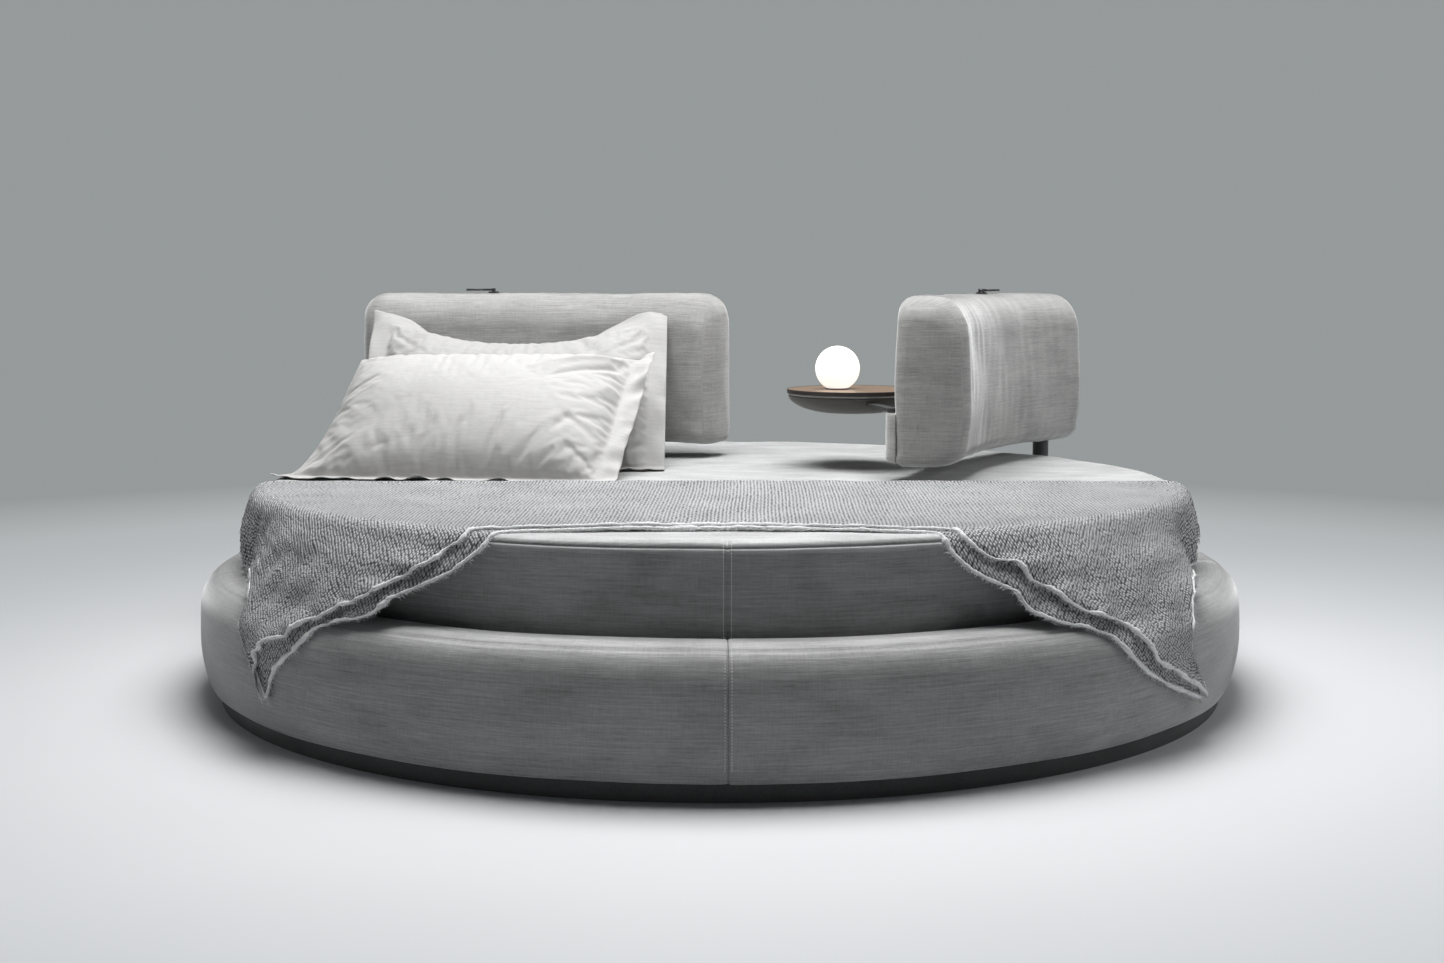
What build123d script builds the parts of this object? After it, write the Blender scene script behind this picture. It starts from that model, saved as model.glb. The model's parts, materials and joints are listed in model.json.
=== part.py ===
"""Round bed: an upholstered ring platform with a sunk round mattress, two swivelling backrests,
a side tray on a swinging arm, two folding reading lights, two pillows and a folded throw.

Millimetres, +Z up. The origin is on the floor at the centre of the ring, the foot of the bed
looks towards -Y and the two backrest posts stand on the +Y half of the ring.
"""
import math
import os

from build123d import *

# Ring platform, upholstered
RING_RADIUS = 1300
RING_WIDEST_HEIGHT = 160
RING_FOOT_INSET = 24
RING_FOOT_ROUND = 7
RING_UNDERSIDE = 40
LEDGE_HEIGHT = 312
SHOULDER_RADIUS = 75
SHOULDER_INSET = 3
LEDGE_LIP_ROUND = 20
FABRIC_WRAP = 6
SEAM_TURN = 0.75

# Timber frame inside the ring
RING_PADDING = 32
FRAME_WIDTH = 92
FRAME_SEGMENTS = 3
FRAME_JOINT_GAP = 0.4
FRAME_TOP = 272
FRAME_SIDE_WALL = 10
FRAME_BOARD = 12
PLINTH_RECESS = 45
PLINTH_WALL = 30

# Mattress well: centre beams, rails, slats, legs and feet
BEAM_THICKNESS = 30
BEAM_BOTTOM = 70
SLAT_TOP = 250
SLAT_THICKNESS = 18
SLAT_WIDTH = 70
SLAT_PITCH = 120
SLAT_END_ROOM = 40
LEDGER_REACH = 30
LEDGER_THICKNESS = 18
BEAM_LEDGER = 25
BEAM_LEDGER_HEIGHT = 30
RAIL_OFFSET = 580
RAIL_WIDTH = 40
RAIL_HEIGHT = 42
SUPPORT_PITCH = 650
LEG_DIAMETER = 40
LEG_PAD_DIAMETER = 52
LEG_PAD_HEIGHT = 6
FOOT_PITCH = 800
FOOT_PAD_DIAMETER = 40
FOOT_PAD_HEIGHT = 10
FOOT_STEM_DIAMETER = 10
FOOT_STEM_GRIP = 22
BRACKET_LEG = 60
BRACKET_GAUGE = 4
BRACKET_HEIGHT = 120
BRACKET_RISE = 10
BRACKET_SEAT = 3.5
JOIN_BOLT_DIAMETER = 8
JOIN_BOLT_HEAD = 16
JOIN_BOLT_HEAD_HEIGHT = 6
JOIN_BOLT_PITCH = 420
JOIN_BOLTS = 5
JOIN_BOLT_HEIGHT = 150
FIT_GAP = 1
HOLE_GAP = 0.25
SOFT_GAP = 0.3

# Mattress
MATTRESS_CLEARANCE = 11
MATTRESS_TOP = 500
MATTRESS_EDGE_ROUND = 28
MATTRESS_FOOT_ROUND = 20
COVER_THICKNESS = 4

# Backrest posts, their sockets and bushes
POST_INSET = 74
POST_BEARING = 39.05
POST_DIAMETER = 46
POST_WALL = 4
POST_BOTTOM = 70
POST_TOP = 800
POST_COLLAR_DIAMETER = 60
POST_COLLAR_HEIGHT = 6
RUNNING_GAP = 0.05
SOCKET_DIAMETER = 60
SOCKET_WALL = 3
SOCKET_BOTTOM = 64
SOCKET_FLOOR = 4
FLANGE_WIDTH = 78
FLANGE_LENGTH = 150
FLANGE_GAUGE = 5
FLANGE_CORNER = 12
FLANGE_BOLT_ALONG = 118
FLANGE_BOLT_ACROSS = 40
FLANGE_BOLT_DIAMETER = 8
FLANGE_BOLT_GRIP = 30
FLANGE_BOLT_HEAD = 14
FLANGE_BOLT_HEAD_HEIGHT = 5
BUSH_LENGTH = 30
BUSH_FLANGE_DIAMETER = 62
BUSH_FLANGE = 3
THRUST_GAP = 0.3
POCKET_GAP = 2
ESCUTCHEON_DIAMETER = 74
ESCUTCHEON_HEIGHT = 8
ESCUTCHEON_SEAT = 301
ESCUTCHEON_EDGE = 2
ESCUTCHEON_GAP = 0.6

# Backrests, laid out along the arc of their middle line
REST_BOTTOM = 539
REST_TOP = 970
REST_THICKNESS = 180
REST_CURVE_RADIUS = 1720
REST_CHORD = 950
REST_BEFORE_POST = 97
REST_AFTER_POST = 974
LEFT_REST_BEARING = -8.9
RIGHT_REST_BEARING = 243.8
REST_TOP_FRONT_ROUND = 80
REST_TOP_FRONT_FALL = 110
REST_TOP_REAR_ROUND = 42
REST_FOOT_FRONT_ROUND = 70
REST_FOOT_FRONT_RISE = 42
REST_FOOT_REAR_ROUND = 20
REST_FRONT_CROWN = 8
REST_END_TOP_ROUND = 95
REST_END_FOOT_ROUND = 22
REST_END_FRONT_ROUND = 58
REST_END_REAR_ROUND = 32
REST_END_SHARES = (0, 0.035, 0.13, 0.32, 0.62, 1)
REST_MIDDLE_SHARES = (0.2, 0.4, 0.6, 0.8)

# Curved core panel, swivel sleeve and their bolts
PANEL_THICKNESS = 24
PANEL_MARGIN = 50
PANEL_FOOT_MARGIN = 21
SLEEVE_WALL = 4
SLEEVE_BOTTOM = 560
SLEEVE_TOP = 810
WING_GAUGE = 4
WING_HEIGHT = 60
WING_BEFORE = 60
WING_AFTER = 140
LOWER_WING = 600
UPPER_WING = 730
REST_BOLT_DIAMETER = 8
REST_BOLT_HEAD = 15
REST_BOLT_HEAD_HEIGHT = 5
REST_BOLT_SHARES = (0.42, 0.86)

# Console and the pivot of the swinging tray, on the right backrest
CONSOLE_FROM_END = 75
CONSOLE_INSET = 43
CONSOLE_RADIUS = 75
CONSOLE_BOTTOM = 546
CONSOLE_TOP = 672
CONSOLE_ROUND = 14
CONSOLE_GAP = 0.8
PIVOT_ACROSS = 105
PIVOT_TUBE_DIAMETER = 24
PIVOT_TUBE_BOTTOM = 566
PIVOT_PIN_DIAMETER = 16
PIVOT_PIN_LENGTH = 96
PIVOT_PLATE_DIAMETER = 28
PIVOT_PLATE_HEIGHT = 4
CONSOLE_ARM_HEIGHT = 40
CONSOLE_ARM_GAUGE = 8
CONSOLE_ARM_RISE = 20
CONSOLE_PLATE_LENGTH = 100
CONSOLE_PLATE_HEIGHT = 90

# Swinging tray
TRAY_REACH = 356.1367
TRAY_BACK_TURN = 154.99845
TRAY_RADIUS = 181
TRAY_TOP = 712.5
TRAY_BOARD = 8
TRAY_BAND = 3
TRAY_BAND_PROUD = 0.5
TRAY_BAND_LIP = 8
TRAY_BAND_LIP_HEIGHT = 2
TRAY_BOARD_GAP = 0.2
TRAY_PAD_DEPTH = 49
TRAY_PAD_EDGE = 9
TRAY_PAD_INSET = 4
TRAY_PIPING = 5
TRAY_ARM_WIDTH = 30
TRAY_ARM_GAUGE = 7
TRAY_HUB_DIAMETER = 84
TRAY_HUB_BOSS = 60

# Table lamp on the tray
LAMP_OFFSET_X = -43
LAMP_OFFSET_Y = -4
LAMP_BASE_DIAMETER = 66
LAMP_BASE_HEIGHT = 3
LAMP_SPIGOT_DIAMETER = 44
LAMP_SPIGOT_HEIGHT = 6
GLOBE_RADIUS = 61
GLOBE_WALL = 2
GLOBE_CUT = 54
LED_DIAMETER = 40
LED_HEIGHT = 4

# Folding reading lights on top of the backrests
LIGHT_ALONG = 275
LIGHT_ACROSS = 48
LIGHT_BASE_DIAMETER = 34
LIGHT_BASE_HEIGHT = 4
LIGHT_BASE_SUNK = 3
LIGHT_STEM_DIAMETER = 12
LIGHT_BRACKET_WIDTH = 36
LIGHT_BRACKET_GAUGE = 3
LIGHT_BRACKET_HEIGHT = 60
LIGHT_BRACKET_REACH = 50
LIGHT_BRACKET_DROP = 4
LIGHT_PIN_DIAMETER = 6
LIGHT_PIN_LENGTH = 20
TURRET_DIAMETER = 30
TURRET_HEIGHT = 4
TURRET_EAR_GAUGE = 4
TURRET_EAR_WIDTH = 9
TURRET_EAR_HEIGHT = 9
KNUCKLE_RISE = 5
KNUCKLE_DIAMETER = 8
KNUCKLE_PIN_DIAMETER = 4
KNUCKLE_SIDE_GAP = 0.3
HEAD_ARM_WIDTH = 8
HEAD_REACH = 53
HEAD_DIAMETER = 58
HEAD_HEIGHT = 6
HEAD_EDGE = 1.5
LENS_DIAMETER = 46
LENS_HEIGHT = 1.5

# Pillows, each laid out in its own leaning plane
PILLOW_WIDTH = 740
PILLOW_FLANGE = 50
PILLOW_FLANGE_GAUGE = 5
PILLOW_SEAT_GAP = 0.4
PILLOW_CORNER = 25
PILLOW_STATION_SHARES = (-1, -0.93, -0.76, -0.4, 0, 0.4, 0.76, 0.93, 1)
PILLOW_THICK_SHARES = (0.06, 0.4, 0.78, 0.97, 1, 0.97, 0.78, 0.4, 0.06)
PILLOW_SAG_SHARES = (0, 0.04, 0.22, 0.8, 1, 0.8, 0.22, 0.04, 0)
REAR_PILLOW_FROM_POST = 382
REAR_PILLOW_BEFORE_POST = 517.5
REAR_PILLOW_HEIGHT = 490
REAR_PILLOW_HALF_THICKNESS = 86
REAR_PILLOW_LEAN = 51
REAR_PILLOW_SAG = 78
FRONT_PILLOW_FROM_POST = 312
FRONT_PILLOW_BEFORE_POST = 806.5
FRONT_PILLOW_HEIGHT = 500
FRONT_PILLOW_HALF_THICKNESS = 96
FRONT_PILLOW_LEAN = 40
FRONT_PILLOW_SAG = 30

# Throw, folded double across the foot half and hanging over both sides
THROW_THICKNESS = 6
THROW_SEAT_GAP = 0.4
THROW_BEFORE_PILLOW = 97
THROW_FRONT_LEFT_INSET = 165
THROW_FRONT_RIGHT_INSET = 117
THROW_OVERLAP = 12
THROW_KINK_RISE = 25
THROW_KINK_STANDOFF = 3
THROW_STANDOFF = 2
THROW_FOLD_DEPTH = 22
THROW_FOLDS = 7
THROW_START_BEARING = 22
THROW_END_BEARING = 86
THROW_VIEW_BEARING = 55
THROW_LEFT_HEM = 131
THROW_RIGHT_HEM = 107
THROW_LEFT_EDGE_SHARES = (
    (27, -0.1), (27, 0), (32.5, 0.25), (37.3, 0.41), (46.9, 0.645), (49, 0.75), (47.6, 1), (49.9, 0.89),
    (53.5, 0.652), (52.4, 0.41), (51.5, 0.27), (58, 0.17), (65, 0.07), (83.6, 0.04), (83.6, -0.1),
)
THROW_RIGHT_EDGE_SHARES = (
    (24.6, -0.1), (24.6, 0), (32.5, 0.25), (41, 0.47), (42.5, 0.6), (50.3, 0.84), (54.6, 1), (54, 0.92),
    (51.2, 0.76), (50.8, 0.62), (54, 0.49), (52, 0.36), (55, 0.22), (65, 0.07), (83.6, 0.04), (83.6, -0.1),
)

# One overrun serves every cut that leaves a solid
OVERRUN = 5

LEFT, RIGHT = -1, 1
SIDE_NAME = {LEFT: "left", RIGHT: "right"}
UPRIGHT = (Align.CENTER, Align.CENTER, Align.MIN)
HANGING = (Align.CENTER, Align.CENTER, Align.MAX)

RING_FOOT_RADIUS = RING_RADIUS - RING_FOOT_INSET
SHOULDER_REACH = RING_RADIUS - SHOULDER_INSET
FRAME_OUTER_RADIUS = RING_RADIUS - RING_PADDING
FRAME_INNER_RADIUS = FRAME_OUTER_RADIUS - FRAME_WIDTH
PLINTH_RADIUS = RING_RADIUS - PLINTH_RECESS
MATTRESS_RADIUS = FRAME_INNER_RADIUS - MATTRESS_CLEARANCE
POST_RADIUS_ON_BED = RING_RADIUS - POST_INSET
POST_X = POST_RADIUS_ON_BED * math.cos(math.radians(POST_BEARING))
POST_Y = POST_RADIUS_ON_BED * math.sin(math.radians(POST_BEARING))
SLAT_BOTTOM = SLAT_TOP - SLAT_THICKNESS
FRAME_BOTTOM = RING_UNDERSIDE + FABRIC_WRAP
RAIL_BOTTOM = SLAT_BOTTOM - RAIL_HEIGHT
LEDGER_RADIUS = FRAME_INNER_RADIUS - LEDGER_REACH
SLATS_EACH_WAY = int((LEDGER_RADIUS - SLAT_END_ROOM) // SLAT_PITCH)
BEAM_HALF_LENGTH = FRAME_INNER_RADIUS - FIT_GAP
MATTRESS_BOTTOM = SLAT_TOP + SOFT_GAP
SHOULDER_R = SHOULDER_REACH - SHOULDER_RADIUS
SHOULDER_Z = LEDGE_HEIGHT - SHOULDER_RADIUS
REST_BEARING = {LEFT: LEFT_REST_BEARING, RIGHT: RIGHT_REST_BEARING}
REST_LEAD = math.degrees(math.asin(REST_CHORD / 2 / REST_CURVE_RADIUS))
HALF_REST = REST_THICKNESS / 2
HALF_PANEL = PANEL_THICKNESS / 2
PANEL_BOTTOM = REST_BOTTOM + PANEL_FOOT_MARGIN
PANEL_TOP = REST_TOP - PANEL_MARGIN
SLEEVE_BORE = POST_DIAMETER + RUNNING_GAP
SLEEVE_DIAMETER = SLEEVE_BORE + SLEEVE_WALL * 2
SOCKET_BORE = SOCKET_DIAMETER - SOCKET_WALL * 2
FLANGE_TOP = FRAME_TOP + FLANGE_GAUGE
COLLAR_BOTTOM = FLANGE_TOP + BUSH_FLANGE + THRUST_GAP
WING_INNER = HALF_PANEL + WING_GAUGE
CONSOLE_ALONG = REST_AFTER_POST - CONSOLE_FROM_END
PIVOT_PLATE_TOP = CONSOLE_TOP + SOFT_GAP + PIVOT_PLATE_HEIGHT
TRAY_ARM_BOTTOM = PIVOT_PLATE_TOP + THRUST_GAP
TRAY_ARM_TOP = TRAY_ARM_BOTTOM + TRAY_ARM_GAUGE
BOARD_BOTTOM = TRAY_TOP - TRAY_BOARD
BAND_LIP_BOTTOM = BOARD_BOTTOM - TRAY_BAND_LIP_HEIGHT
TRAY_PAD_TOP = BAND_LIP_BOTTOM - TRAY_PIPING - SOFT_GAP
GLOBE_Z = TRAY_TOP + LAMP_BASE_HEIGHT + GLOBE_CUT
LIGHT_BASE_BOTTOM = REST_TOP - LIGHT_BASE_SUNK
LIGHT_BASE_TOP = LIGHT_BASE_BOTTOM + LIGHT_BASE_HEIGHT
LIGHT_BRACKET_TOP = PANEL_TOP - LIGHT_BRACKET_DROP + LIGHT_BRACKET_GAUGE
TURRET_BOTTOM = LIGHT_BASE_TOP + THRUST_GAP
TURRET_TOP = TURRET_BOTTOM + TURRET_HEIGHT
KNUCKLE_Z = TURRET_TOP + KNUCKLE_RISE
REAR_PILLOW_X = REAR_PILLOW_FROM_POST - POST_X
REAR_PILLOW_FOOT_Y = POST_Y - REAR_PILLOW_BEFORE_POST
FRONT_PILLOW_X = FRONT_PILLOW_FROM_POST - POST_X
FRONT_PILLOW_FOOT_Y = POST_Y - FRONT_PILLOW_BEFORE_POST
THROW_REAR_Y = FRONT_PILLOW_FOOT_Y - THROW_BEFORE_PILLOW
THROW_FRONT_LEFT_Y = THROW_FRONT_LEFT_INSET - MATTRESS_RADIUS
THROW_FRONT_RIGHT_Y = THROW_FRONT_RIGHT_INSET - MATTRESS_RADIUS
THROW_EDGE_R = MATTRESS_RADIUS - MATTRESS_EDGE_ROUND
THROW_EDGE_Z = MATTRESS_TOP - MATTRESS_EDGE_ROUND
THROW_BEND = MATTRESS_EDGE_ROUND + THROW_SEAT_GAP
THROW_KINK_Z = SHOULDER_Z + THROW_KINK_RISE
THROW_KINK_R = SHOULDER_REACH + THROW_KINK_STANDOFF
THROW_HANG_R = RING_RADIUS + THROW_STANDOFF
THROW_SPAN = math.hypot(THROW_KINK_R - THROW_EDGE_R, THROW_EDGE_Z - THROW_KINK_Z)
THROW_FALL = math.atan2(THROW_EDGE_Z - THROW_KINK_Z, THROW_KINK_R - THROW_EDGE_R)
THROW_TURN = math.acos(THROW_BEND / THROW_SPAN) - THROW_FALL
THROW_BEND_R = THROW_EDGE_R + THROW_BEND * math.cos(THROW_TURN)
THROW_BEND_Z = THROW_EDGE_Z + THROW_BEND * math.sin(THROW_TURN)
THROW_ACROSS = THROW_THICKNESS / math.cos(THROW_TURN)
THROW_HEM = {LEFT: THROW_LEFT_HEM, RIGHT: THROW_RIGHT_HEM}
THROW_EDGE_SHARES = {LEFT: THROW_LEFT_EDGE_SHARES, RIGHT: THROW_RIGHT_EDGE_SHARES}

BED_TURN = math.radians(SEAM_TURN)
BED = Plane(origin=(0, 0, 0), x_dir=(math.cos(BED_TURN), math.sin(BED_TURN), 0))


def save(part, name):
    """Labels a finished piece and writes it."""
    part.label = name
    export_step(part, f"parts/{name}.step")


def radial_plane(bearing):
    """Upright plane through the middle of the bed, X outwards at a bearing and Y up."""
    turn = math.radians(bearing)
    outward = (math.cos(turn), math.sin(turn), 0)
    return Plane(origin=(0, 0, 0), x_dir=outward, z_dir=(math.sin(turn), -math.cos(turn), 0))


def half_plane(side):
    """The radial plane where a half of the bed starts, counted anticlockwise from above."""
    return radial_plane(SEAM_TURN - 90 if side == RIGHT else SEAM_TURN + 90)


def post_plane(side, height):
    """Level plane on a post's axis, X away from the middle of the bed."""
    turn = math.radians(POST_BEARING)
    return Plane(origin=(side * POST_X, POST_Y, height), x_dir=(side * math.cos(turn), math.sin(turn), 0))


def rest_heading(side, along):
    """Bearing of a backrest's middle line, in degrees."""
    return REST_BEARING[side] + side * (math.degrees(along / REST_CURVE_RADIUS) - REST_LEAD)


def rest_point(side, along, across):
    """Plan point of a backrest: along its middle line from the post, across to the hollow side."""
    start, here = math.radians(rest_heading(side, 0)), math.radians(rest_heading(side, along))
    x = side * (POST_X + REST_CURVE_RADIUS * (math.sin(here) - math.sin(start)) - math.sin(here) * across)
    y = POST_Y + side * (REST_CURVE_RADIUS * (math.cos(start) - math.cos(here)) + math.cos(here) * across)
    return x, y


PIVOT_X, PIVOT_Y = rest_point(RIGHT, CONSOLE_ALONG, -PIVOT_ACROSS)
TRAY_HEADING = math.radians(rest_heading(RIGHT, CONSOLE_ALONG) - TRAY_BACK_TURN)
TRAY_CENTRE_X = PIVOT_X + math.cos(TRAY_HEADING) * TRAY_REACH
TRAY_CENTRE_Y = PIVOT_Y + math.sin(TRAY_HEADING) * TRAY_REACH
LAMP_X = TRAY_CENTRE_X + LAMP_OFFSET_X
LAMP_Y = TRAY_CENTRE_Y + LAMP_OFFSET_Y


def rest_plane(side, along, across, height):
    """Level plane at a place on a backrest, X along its middle line."""
    x, y = rest_point(side, along, across)
    here = math.radians(rest_heading(side, along))
    return Plane(origin=(x, y, height), x_dir=(math.cos(here), math.sin(here), 0))


def rest_station(side, along):
    """Upright plane square to a backrest's middle line, X to the hollow side and Y up."""
    x, y = rest_point(side, along, 0)
    here = math.radians(rest_heading(side, along))
    hollow = (-math.sin(here) * side, math.cos(here) * side, 0)
    return Plane(origin=(x, y, 0), x_dir=hollow, z_dir=(hollow[1], -hollow[0], 0))


def rest_bolt_plane(side, along, across, height):
    """Upright plane across a backrest, Z to the hollow side."""
    x, y = rest_point(side, along, across)
    here = math.radians(rest_heading(side, along))
    across = (-math.sin(here) * side, math.cos(here) * side, 0)
    return Plane(origin=(x, y, height), x_dir=(0, 0, 1), z_dir=across)


def rest_band(side, start, end, inner, outer):
    """Plan of a plate that follows a backrest's curve."""
    middle = (start + end) / 2
    with BuildSketch() as band:
        with BuildLine():
            ThreePointArc(*(rest_point(side, along, inner) for along in (start, middle, end)))
            Line(rest_point(side, end, inner), rest_point(side, end, outer))
            ThreePointArc(*(rest_point(side, along, outer) for along in (end, middle, start)))
            Line(rest_point(side, start, outer), rest_point(side, start, inner))
        make_face()
    return band.sketch


def diagonal_point(start, corner, end):
    """Middle of a rounding that leaves start towards the corner and arrives at end from it."""
    half = 1 - math.sqrt(1 / 2)
    return tuple(c + (s - c) * half + (e - c) * half for s, c, e in zip(start, corner, end))


def make_plinth(side):
    """Half of the dark recessed ring that the bed stands on."""
    with BuildPart() as plinth:
        with BuildSketch(half_plane(side)):
            with Locations((PLINTH_RADIUS - PLINTH_WALL / 2, FRAME_BOTTOM / 2)):
                Rectangle(PLINTH_WALL, FRAME_BOTTOM)
        revolve(axis=Axis.Z, revolution_arc=180)
    save(plinth.part, f"plinth_{SIDE_NAME[side]}")


def make_frame(side):
    """Half of the hollow plywood ring, in segments, with the inner ledger for the slat ends."""
    width = FRAME_OUTER_RADIUS - FRAME_INNER_RADIUS
    height = FRAME_TOP - FRAME_BOTTOM
    with BuildPart() as frame:
        with BuildSketch(half_plane(side)):
            with Locations((FRAME_INNER_RADIUS + width / 2, FRAME_BOTTOM + height / 2)):
                Rectangle(width, height)
                Rectangle(width - FRAME_SIDE_WALL * 2, height - FRAME_BOARD * 2, mode=Mode.SUBTRACT)
            with Locations((FRAME_INNER_RADIUS - LEDGER_REACH / 2, SLAT_BOTTOM - LEDGER_THICKNESS / 2)):
                Rectangle(LEDGER_REACH, LEDGER_THICKNESS)
        revolve(axis=Axis.Z, revolution_arc=180)
        with BuildSketch(BED.offset(SLAT_BOTTOM)):
            Rectangle((BEAM_THICKNESS + FIT_GAP) * 2, BEAM_HALF_LENGTH * 2)
        extrude(amount=-LEDGER_THICKNESS, mode=Mode.SUBTRACT)
        with BuildSketch(BED.offset(FRAME_BOTTOM)):
            with PolarLocations(FRAME_INNER_RADIUS, FRAME_SEGMENTS * 2, start_angle=90):
                Rectangle(FRAME_WIDTH * 2 + OVERRUN, FRAME_JOINT_GAP)
        extrude(amount=height, mode=Mode.SUBTRACT)
        with BuildSketch(post_plane(side, FRAME_TOP)):
            Circle(SOCKET_DIAMETER / 2 + HOLE_GAP)
            with GridLocations(FLANGE_BOLT_ACROSS, FLANGE_BOLT_ALONG, 2, 2):
                Circle(FLANGE_BOLT_DIAMETER / 2 + HOLE_GAP)
        extrude(amount=-FRAME_BOARD, mode=Mode.SUBTRACT)
    save(frame.part, f"ring_frame_{SIDE_NAME[side]}")


def make_ring_cover(side):
    """Half of the padded fabric ring: bulging side, rounded shoulder and soft ledge."""
    lip_r = FRAME_INNER_RADIUS - FABRIC_WRAP
    wrap_r = PLINTH_RADIUS + FIT_GAP
    foot_start = (RING_FOOT_RADIUS - RING_FOOT_ROUND, RING_UNDERSIDE)
    foot_end = (RING_FOOT_RADIUS, RING_UNDERSIDE + RING_FOOT_ROUND)
    shoulder_start = (SHOULDER_REACH, SHOULDER_Z)
    shoulder_end = (SHOULDER_R, LEDGE_HEIGHT)
    lip_start = (lip_r + LEDGE_LIP_ROUND, LEDGE_HEIGHT)
    lip_end = (lip_r, LEDGE_HEIGHT - LEDGE_LIP_ROUND)
    with BuildPart() as cover:
        with BuildSketch(half_plane(side)):
            with BuildLine():
                Polyline((wrap_r, FRAME_BOTTOM), (wrap_r, RING_UNDERSIDE), foot_start)
                corner = (foot_end[0], foot_start[1])
                ThreePointArc(foot_start, diagonal_point(foot_start, corner, foot_end), foot_end)
                ThreePointArc(foot_end, (RING_RADIUS, RING_WIDEST_HEIGHT), shoulder_start)
                corner = (shoulder_start[0], shoulder_end[1])
                bulge = diagonal_point(shoulder_start, corner, shoulder_end)
                ThreePointArc(shoulder_start, bulge, shoulder_end)
                Line(shoulder_end, lip_start)
                corner = (lip_end[0], lip_start[1])
                ThreePointArc(lip_start, diagonal_point(lip_start, corner, lip_end), lip_end)
                Polyline(
                    lip_end,
                    (lip_r, MATTRESS_BOTTOM),
                    (FRAME_INNER_RADIUS, MATTRESS_BOTTOM),
                    (FRAME_INNER_RADIUS, FRAME_TOP),
                    (FRAME_OUTER_RADIUS, FRAME_TOP),
                    (FRAME_OUTER_RADIUS, FRAME_BOTTOM),
                    (wrap_r, FRAME_BOTTOM),
                )
            make_face()
        revolve(axis=Axis.Z, revolution_arc=180)
        with BuildSketch(post_plane(side, FRAME_TOP)):
            Circle(POST_COLLAR_DIAMETER / 2 + POCKET_GAP)
        extrude(amount=LEDGE_HEIGHT - FRAME_TOP + OVERRUN, mode=Mode.SUBTRACT)
        with BuildSketch(post_plane(side, FRAME_TOP)):
            Rectangle(FLANGE_WIDTH + POCKET_GAP, FLANGE_LENGTH + POCKET_GAP)
        extrude(amount=FLANGE_GAUGE + FLANGE_BOLT_HEAD_HEIGHT + POCKET_GAP, mode=Mode.SUBTRACT)
        with BuildSketch(post_plane(side, ESCUTCHEON_SEAT)):
            Circle(ESCUTCHEON_DIAMETER / 2 + HOLE_GAP)
        extrude(amount=LEDGE_HEIGHT - ESCUTCHEON_SEAT + OVERRUN, mode=Mode.SUBTRACT)
    save(cover.part, f"ring_cover_{SIDE_NAME[side]}")


def make_beam(side):
    """One of the two timber beams that the halves are joined by, with its ledger for the slats."""
    ledger_reach = BEAM_THICKNESS + BEAM_LEDGER
    ledger_half = math.sqrt(LEDGER_RADIUS**2 - ledger_reach**2) - FIT_GAP
    with BuildPart() as beam:
        with BuildSketch(BED.offset(BEAM_BOTTOM)):
            with Locations((side * BEAM_THICKNESS / 2, 0)):
                Rectangle(BEAM_THICKNESS, BEAM_HALF_LENGTH * 2)
        extrude(amount=SLAT_TOP - BEAM_BOTTOM)
        with BuildSketch(BED.offset(SLAT_BOTTOM)):
            with Locations((side * (BEAM_THICKNESS + BEAM_LEDGER / 2), 0)):
                Rectangle(BEAM_LEDGER, ledger_half * 2)
        extrude(amount=-BEAM_LEDGER_HEIGHT)
        with BuildSketch(Plane(origin=(0, 0, JOIN_BOLT_HEIGHT), x_dir=BED.y_dir, z_dir=BED.x_dir)):
            with GridLocations(JOIN_BOLT_PITCH, JOIN_BOLT_PITCH, JOIN_BOLTS, 1):
                Circle(JOIN_BOLT_DIAMETER / 2 + HOLE_GAP)
        extrude(amount=side * BEAM_THICKNESS, mode=Mode.SUBTRACT)
        with BuildSketch(BED.offset(BEAM_BOTTOM)):
            with Locations(*((side * BEAM_THICKNESS / 2, step * FOOT_PITCH) for step in (-1, 0, 1))):
                Circle(FOOT_STEM_DIAMETER / 2 + HOLE_GAP)
        extrude(amount=FOOT_STEM_GRIP + FIT_GAP, mode=Mode.SUBTRACT)
    save(beam.part, f"centre_beam_{SIDE_NAME[side]}")


def make_joining_bolts():
    """Bolts through both centre beams, with a head one side and a nut the other."""
    reach = BEAM_THICKNESS + JOIN_BOLT_HEAD_HEIGHT
    across = Plane(origin=(0, 0, JOIN_BOLT_HEIGHT), x_dir=BED.y_dir, z_dir=BED.x_dir)
    with BuildPart() as bolts:
        with BuildSketch(across.offset(-reach)):
            with GridLocations(JOIN_BOLT_PITCH, JOIN_BOLT_PITCH, JOIN_BOLTS, 1):
                Circle(JOIN_BOLT_DIAMETER / 2)
        extrude(amount=reach * 2)
        with BuildSketch(across.offset(-reach), across.offset(BEAM_THICKNESS)):
            with GridLocations(JOIN_BOLT_PITCH, JOIN_BOLT_PITCH, JOIN_BOLTS, 1):
                RegularPolygon(JOIN_BOLT_HEAD / 2, 6)
        extrude(amount=JOIN_BOLT_HEAD_HEIGHT)
    save(bolts.part, "joining_bolts")


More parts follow.
